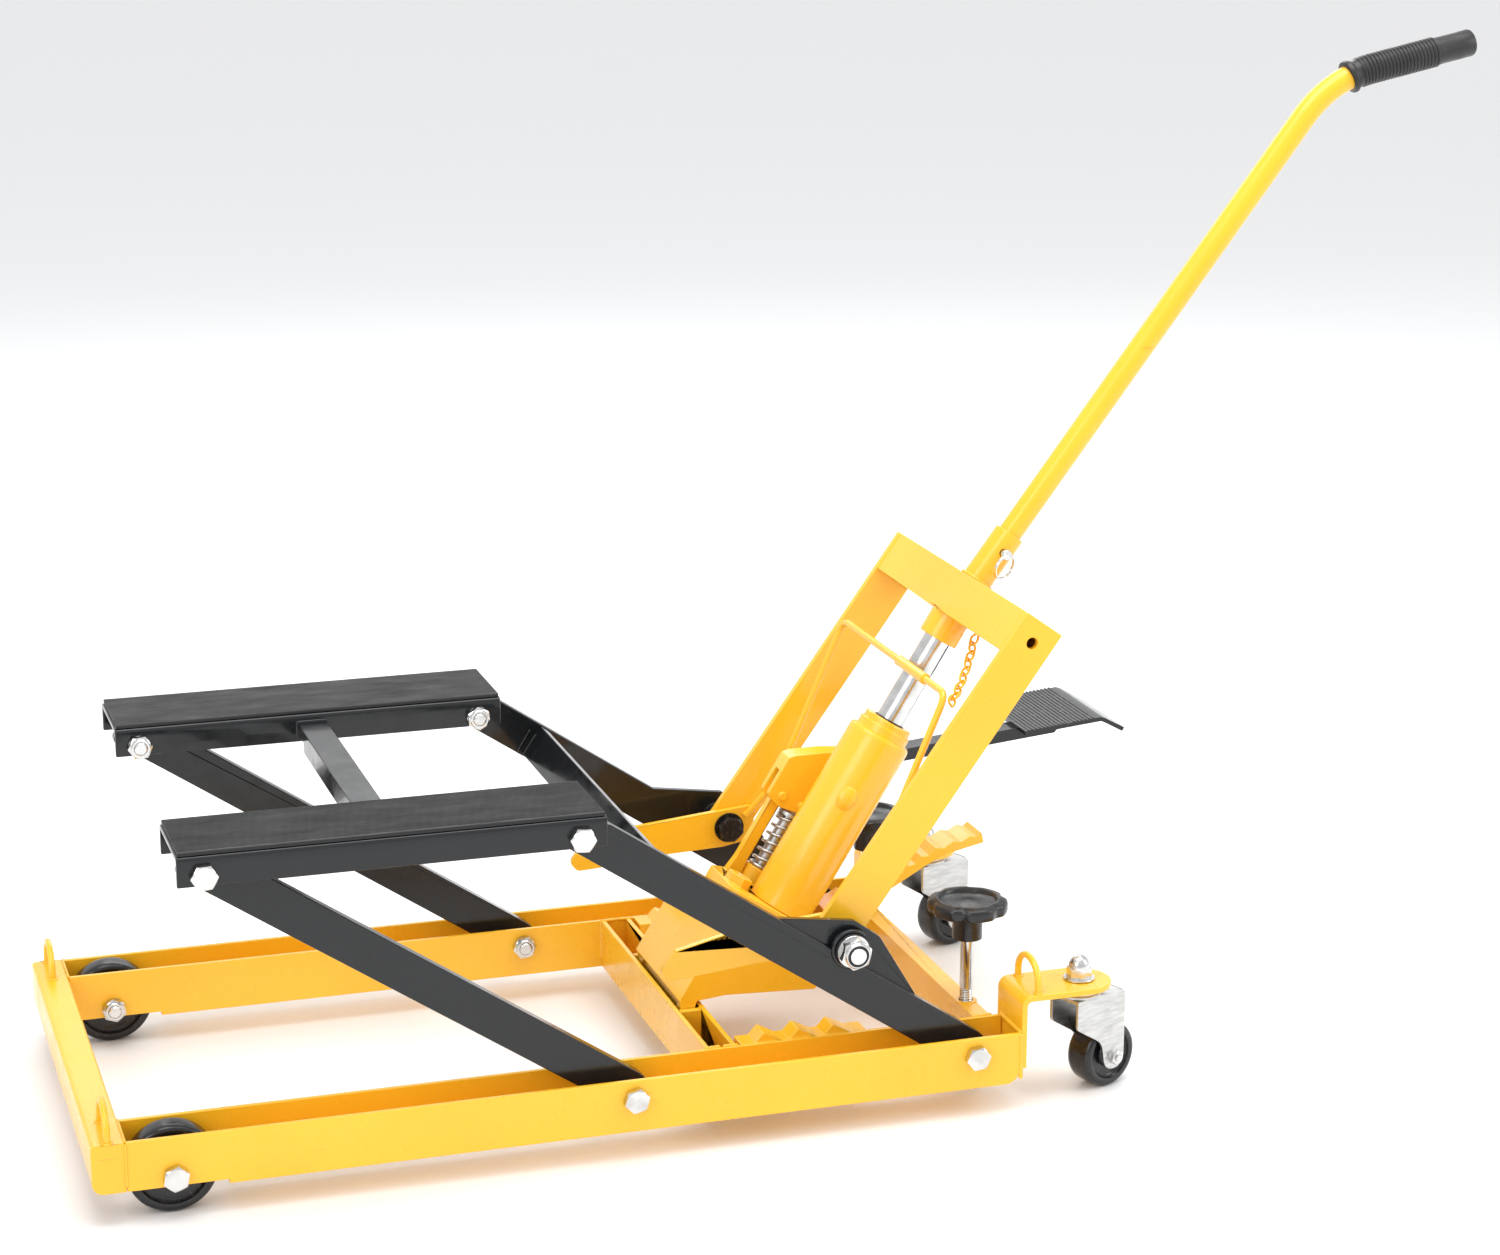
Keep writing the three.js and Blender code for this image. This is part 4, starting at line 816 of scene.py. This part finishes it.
# %% Pull pin and split ring
bm = bmesh.new()
to_near_side = Matrix.Rotation(math.pi / 2, 4, "X")
pin_space = handle_space @ Matrix.Translation((0, 0, 30)) @ to_near_side
pin_stem = [(0, -16.3), (2.0, -16.0), (3, -14.3), (3, 15.0)]
pin_head = [(4.0, 15.2), (4.2, 15.8), (4.2, 18.6), (3.7, 19.2), (0, 19.3)]
turned(bm, pin_stem + pin_head, pin_space, 32)
ring_place = Matrix.Translation((4.5, -17.8, 21.5))
ring_space = handle_space @ ring_place @ Matrix.Rotation(0.5, 4, "Z") @ to_near_side
turns = [2 * 2 * math.pi * k / 96 for k in range(97)]
coil = [(10 * math.cos(a), 10 * math.sin(a), -0.8 + 1.6 * a / (4 * math.pi)) for a in turns]
swept(bm, coil, 0.85, ring_space, 10)
add_piece("pin_and_split_ring", bm, bright_plating, "handle_pin", ["handle_pin"], 40)

# %% [markdown]
# The ram is a thick tube closed by a stepped gland, and a chromed rod comes out of it. A small
# plug seals the filling hole near its top. All of it leans with the ram, so it is turned in the
# ram's own space.

# %% Ram cylinder and rod
bm = bmesh.new()
barrel = [(0, 0.3), (25.6, 0.3), (26, 0.7), (26, 155.4), (25.7, 157.4), (24.8, 159.0), (23.4, 159.8)]
gland = [(21.7, 160.1), (21.6, 160.6), (21.6, 166.2), (21.2, 166.9), (19.9, 167.6)]
gland += [(19.9, 171.4), (19.2, 172.4)]
bore = [(12.9, 172.5), (12.2, 172.0), (11.45, 170.6), (11.45, 8), (0, 8)]
turned(bm, barrel + gland + bore, ram_space, 96)
plug_way = Vector((-8.9, -24.2, 0)).normalized()
plug_turn = plug_way.to_track_quat("Z", "Y").to_matrix().to_4x4()
plug_space = ram_space @ Matrix.Translation(plug_way * 25.2 + Vector((0, 0, 104))) @ plug_turn
lengthen = Matrix.Diagonal((1.0, 1.35, 1.0, 1.0))
plug = [(0, -1.6), (7.4, -1.6), (7.5, 0.4), (7.0, 1.1), (5.2, 2.1), (2.6, 2.8), (0, 3.0)]
turned(bm, plug, plug_space @ lengthen, 40)
add_piece("ram_tube", bm, yellow_enamel, "ram", ["ram_cylinder"], 24)
bm = bmesh.new()
wiper = [(11.05, 171.6), (12.6, 171.6), (12.7, 173.0), (12.1, 173.5), (11.3, 173.6), (11.05, 173.2)]
turned(bm, wiper, ram_space, 64, ring=True)
add_piece("wiper_seal", bm, knob_plastic, "ram")
bm = bmesh.new()
turned(bm, [(0, 66), (10.2, 66), (11, 66.8), (11, 261.7), (0, 261.7)], ram_space, 96)
add_piece("chromed_rod", bm, bright_plating, "yoke", ["ram_rod"], 40)

# %% [markdown]
# The pump's return spring is a helix of round wire with closed ends, which shortens along the ram's axis as the
# piston goes down.

# %% Pump spring
def spring_points(turns, radius, low, high, per_turn=22):
    points = []
    for k in range(int(turns * per_turn) + 1):
        turn = k / per_turn
        share = (turn - 0.8) / (turns - 1.6)
        eased = min(1.0, max(0.0, share))
        points.append(on_circle(radius, 2 * math.pi * turn, low + (high - low) * eased))
    return points


bm = bmesh.new()
coil_space = ram_space @ Matrix.Translation((-10, 48, 0))
swept(bm, spring_points(7.6, 9, 15.7, 60.3), 1.35, coil_space, 12)
pump_coil = add_piece("return_spring", bm, zinc_plating, "ram", ["pump_spring"], 60)
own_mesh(pump_coil)

# %% [markdown]
# A short chain hangs from the yoke and hooks over the lock's wire handle, to hold the lock up.
# Each link is a rod bent to a long loop, and each is turned a quarter turn from the one before.

# %% Safety chain
def chain_link(bm, centre, way, twist, length, width, wire):
    half = (length - width) / 2
    bend = width / 2 - wire
    loop = []
    for k in range(10):
        a = math.pi * k / 9
        loop.append((bend * math.cos(a), half + bend * math.sin(a), 0))
    for k in range(10):
        a = math.pi + math.pi * k / 9
        loop.append((bend * math.cos(a), -half + bend * math.sin(a), 0))
    turn = way.to_track_quat("Y", "Z").to_matrix().to_4x4()
    space = Matrix.Translation(centre) @ turn @ Matrix.Rotation(twist, 4, "Y")
    swept(bm, loop, wire, drawing @ space, 8, closed=True)


chain_top = drawing.inverted() @ (yoke_space @ Vector((15, -22, 246)))
chain_low = Vector((670.5, -106, 304))
chain_middle = chain_top.lerp(chain_low, 0.5) + Vector((2, 0, -10))
LINK_PITCH = 10.6
shares = [k / 200 for k in range(201)]
curve = [chain_top * (1 - t) ** 2 + chain_middle * (2 * t * (1 - t)) + chain_low * t ** 2 for t in shares]
bm = bmesh.new()
walked = 0.0
links = 0
for before, after in zip(curve, curve[1:]):
    walked += (after - before).length
    if walked >= LINK_PITCH * (links + 0.5):
        chain_link(bm, after, (after - before).normalized(), 0.5 + links * math.pi / 2, 14.6, 9, 1.0)
        links += 1
add_piece("link_chain", bm, yellow_enamel, "yoke", ["safety_chain"], 50)
print("chain:", links, "links over", round(walked), "mm")

# %% [markdown]
# Each saddle is topped with a strip of ribbed rubber. The ribs run the long way and are about as
# wide as a pencil line, so they are drawn in the strip's cross-section, which is then stretched
# along the saddle.

# %% Ribbed rubber pads
along = Matrix(((0, 0, 1, 0), (1, 0, 0, 0), (0, 1, 0, 0), (0, 0, 0, 1)))
for name, side in SIDES.items():
    low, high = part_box(f"saddle_pad_{name}")
    inner, outer = sorted((abs(low.y) * 1000, abs(high.y) * 1000))
    bottom, top = low.z * 1000, high.z * 1000
    section = [(inner, bottom), (inner, top - 0.7), (inner + 0.5, top - 0.15), (inner + 1.3, top)]
    count = 34
    pitch = (outer - inner - 3.4) / count
    for rib in range(count):
        y = inner + 1.7 + rib * pitch
        groove = [(0, 0), (0.14, 1.0), (0.40, 1.0), (0.54, 0.06)]
        section += [(y + share * pitch, top - depth) for share, depth in groove]
    section += [(outer - 1.3, top), (outer - 0.5, top - 0.15), (outer, top - 0.7), (outer, bottom)]
    section = [(side * y, z) for y, z in section]
    bm = bmesh.new()
    x_low = (low.x - front_face) * 1000
    x_high = (high.x - front_face) * 1000
    extruded(bm, section, x_low, x_high, drawing @ along)
    add_piece(f"ribbed_pad_{name}", bm, pad_rubber, "platform", [f"saddle_pad_{name}"], 50)
print("pad ribs:", count, "at", round(pitch, 2), "mm")

# %% [markdown]
# The foot plate is a pressed sheet on a flat bar. Raised ribs across it stop a wet boot from
# slipping, and its rear edge is bent down. The sheet is lofted from sections across the jack, and
# near the far corner each section is cut a little shorter, which rounds the corner.

# %% Foot pedal
lever_space = ram_space @ Matrix.Translation((33.9, 0, 135.2)) @ Matrix.Rotation(-math.radians(37.2), 4, "Y")
PLATE_START, PLATE_END, LIP, LIP_BEND, SHEET = 117.3, 184.6, 21.3, math.radians(34), 3.5


def on_plate(s, height):
    """A point of the sheet's side view: s along its underside from the plate's start."""
    flat = PLATE_END - PLATE_START
    if s <= flat:
        return PLATE_START + s, 10 + height
    out = s - flat
    u = PLATE_END + out * math.cos(LIP_BEND) + height * math.sin(LIP_BEND)
    return u, 10 - out * math.sin(LIP_BEND) + height * math.cos(LIP_BEND)


top_line = []
RIB_PITCH = 3.35
flat_length = PLATE_END - PLATE_START
rib_count = int((flat_length - 4) / RIB_PITCH)
for rib in range(rib_count):
    s = 2.4 + rib * RIB_PITCH
    top_line += [(s, 0.0), (s + 0.45, 0.85), (s + 1.35, 0.85), (s + 1.8, 0.0)]
lip_line = [(flat_length + out, 0.0) for out in (-0.5, 2, 8, 14, LIP)]
top_line = [(0.0, 0.0)] + top_line + lip_line
bottom_line = [(s, -SHEET) for s, _ in reversed(top_line)]
CORNER = 16
total = flat_length + LIP
bm = bmesh.new()
rows = []
for y in [18, 40, 70, 96, 99, 102, 105, 107.5, 109.5, 111, 112]:
    cut_back = CORNER - math.sqrt(max(0.0, CORNER ** 2 - max(0.0, y - 96) ** 2))
    row = []
    for s, rise in top_line + bottom_line:
        u, n = on_plate(min(s, total - cut_back), SHEET + rise)
        row.append(bm.verts.new(lever_space @ Vector((u, y, n))))
    rows.append(row)
stitch(bm, rows)
bmesh.ops.remove_doubles(bm, verts=bm.verts, dist=0.000002)
across = Matrix(((1, 0, 0, 0), (0, 0, 1, 0), (0, -1, 0, 0), (0, 0, 0, 1)))
bar = [(0.4, 1.2), (1.2, 0.3), (151, 0.3), (153.4, 2.6), (153.7, 4.2), (153.7, 10.2), (1.2, 10.2), (0.4, 9.4)]
extruded(bm, [(u, -n) for u, n in bar], 38.6, 57.4, lever_space @ across)
add_piece("ribbed_foot_pedal", bm, black_enamel, "pedal", ["foot_pedal"], 30)
print("foot plate ribs:", rib_count)

# %% [markdown]
# Welded seams hold the jack together, and a seam is never a clean line. A weld bead is a row of
# frozen ripples, so it is a tube whose radius swells and shrinks every couple of millimetres.

# %% Weld beads
def bead(bm, corners, radius, space):
    corners = [Vector(c) for c in corners]
    points, radii = [], []
    travelled = 0.0
    for start, end in zip(corners, corners[1:]):
        length = (end - start).length
        steps = max(2, int(length / 0.9))
        for k in range(steps):
            points.append(start.lerp(end, k / steps))
            travelled += length / steps
            radii.append(radius * (0.86 + 0.16 * abs(math.sin(travelled * 1.35))))
    points.append(corners[-1])
    radii[0] = radius * 0.45
    radii.append(radius * 0.45)
    swept(bm, points, radii, space, 8)


def circle_points(radius, height, steps):
    return [on_circle(radius, 2 * math.pi * k / steps, height) for k in range(steps + 1)]


bm = bmesh.new()
for side in SIDES.values():
    bead(bm, [(24.2, side * 190, 29), (24.2, side * 190, 62)], 1.1, drawing)
    bead(bm, [(24.2, side * 147, 63), (24.2, side * 189, 63)], 1.1, drawing)
    bead(bm, [(462, side * 145.9, 30), (462, side * 145.9, 62.6), (474, side * 145.9, 62.9)], 1.5, drawing)
    bead(bm, [(487, side * 145.9, 30), (487, side * 145.9, 62.6), (476, side * 145.9, 62.9)], 1.5, drawing)
    rear_joint = [(677.5, 30), (677.5, 62.6), (692, 62.8), (692, 30)]
    bead(bm, [(x, side * 145.9, z) for x, z in rear_joint], 1.4, drawing)
    bead(bm, [(700.2, side * 146, 62.9), (700.2, side * 189, 62.9)], 2.0, drawing)
    bead(bm, [(700.2, side * 189.4, 26), (700.2, side * 189.4, 62.3)], 1.9, drawing)
    for foot_x, foot_y, foot_z in ((12, 147, 63), (12, 187, 63), (714.8, 145, 91.8), (714.8, 185, 91.8)):
        loop_foot = drawing @ Matrix.Translation((foot_x, side * foot_y, foot_z))
        bead(bm, circle_points(3.1, 0.2, 18), 1.0, loop_foot)
add_piece("base_welds", bm, yellow_enamel, "base", sharp=70)

bm = bmesh.new()
for side in SIDES.values():
    arm_face = outward(*LIFT_PIVOT, side)
    bead(bm, circle_points(13.8, 173.3, 48), 1.9, arm_face)
    bead(bm, [(510, side * 168.4, 167.5), (572, side * 168.4, 126.5), (619, side * 168.4, 95)], 2.2, drawing)
    bead(bm, [(407.2, side * 161.2, 229.2), (396, side * 161.2, 211.5)], 1.2, drawing)
    bead(bm, [(412, side * 161.2, 224.9), (400.9, side * 161.2, 208.3)], 1.2, drawing)
add_piece("arm_welds", bm, black_enamel, "rear_arms", sharp=70)

bm = bmesh.new()
for side in SIDES.values():
    bead(bm, [(-16.8, side * 133.9, 247.2), (-16.8, side * 133.9, 281.8)], 1.3, yoke_space)
    bead(bm, [(16.8, side * 133.9, 281.8), (16.8, side * 133.9, 247.2)], 1.3, yoke_space)
    bead(bm, [(-16.5, side * 133.9, 247), (16.5, side * 133.9, 247)], 1.2, yoke_space)
bead(bm, circle_points(12.7, 0.9, 44), 1.6, handle_space)
add_piece("yoke_welds", bm, yellow_enamel, "yoke", sharp=70)

bm = bmesh.new()
for side in SIDES.values():
    saddle_joint = [(208.6, 250.4), (208.6, 265.4), (231.4, 265.4), (231.4, 250.4)]
    bead(bm, [(x, side * 119.3, z) for x, z in saddle_joint], 1.2, drawing)
add_piece("saddle_welds", bm, black_enamel, "platform", sharp=70)
print("pieces:", len(pieces))
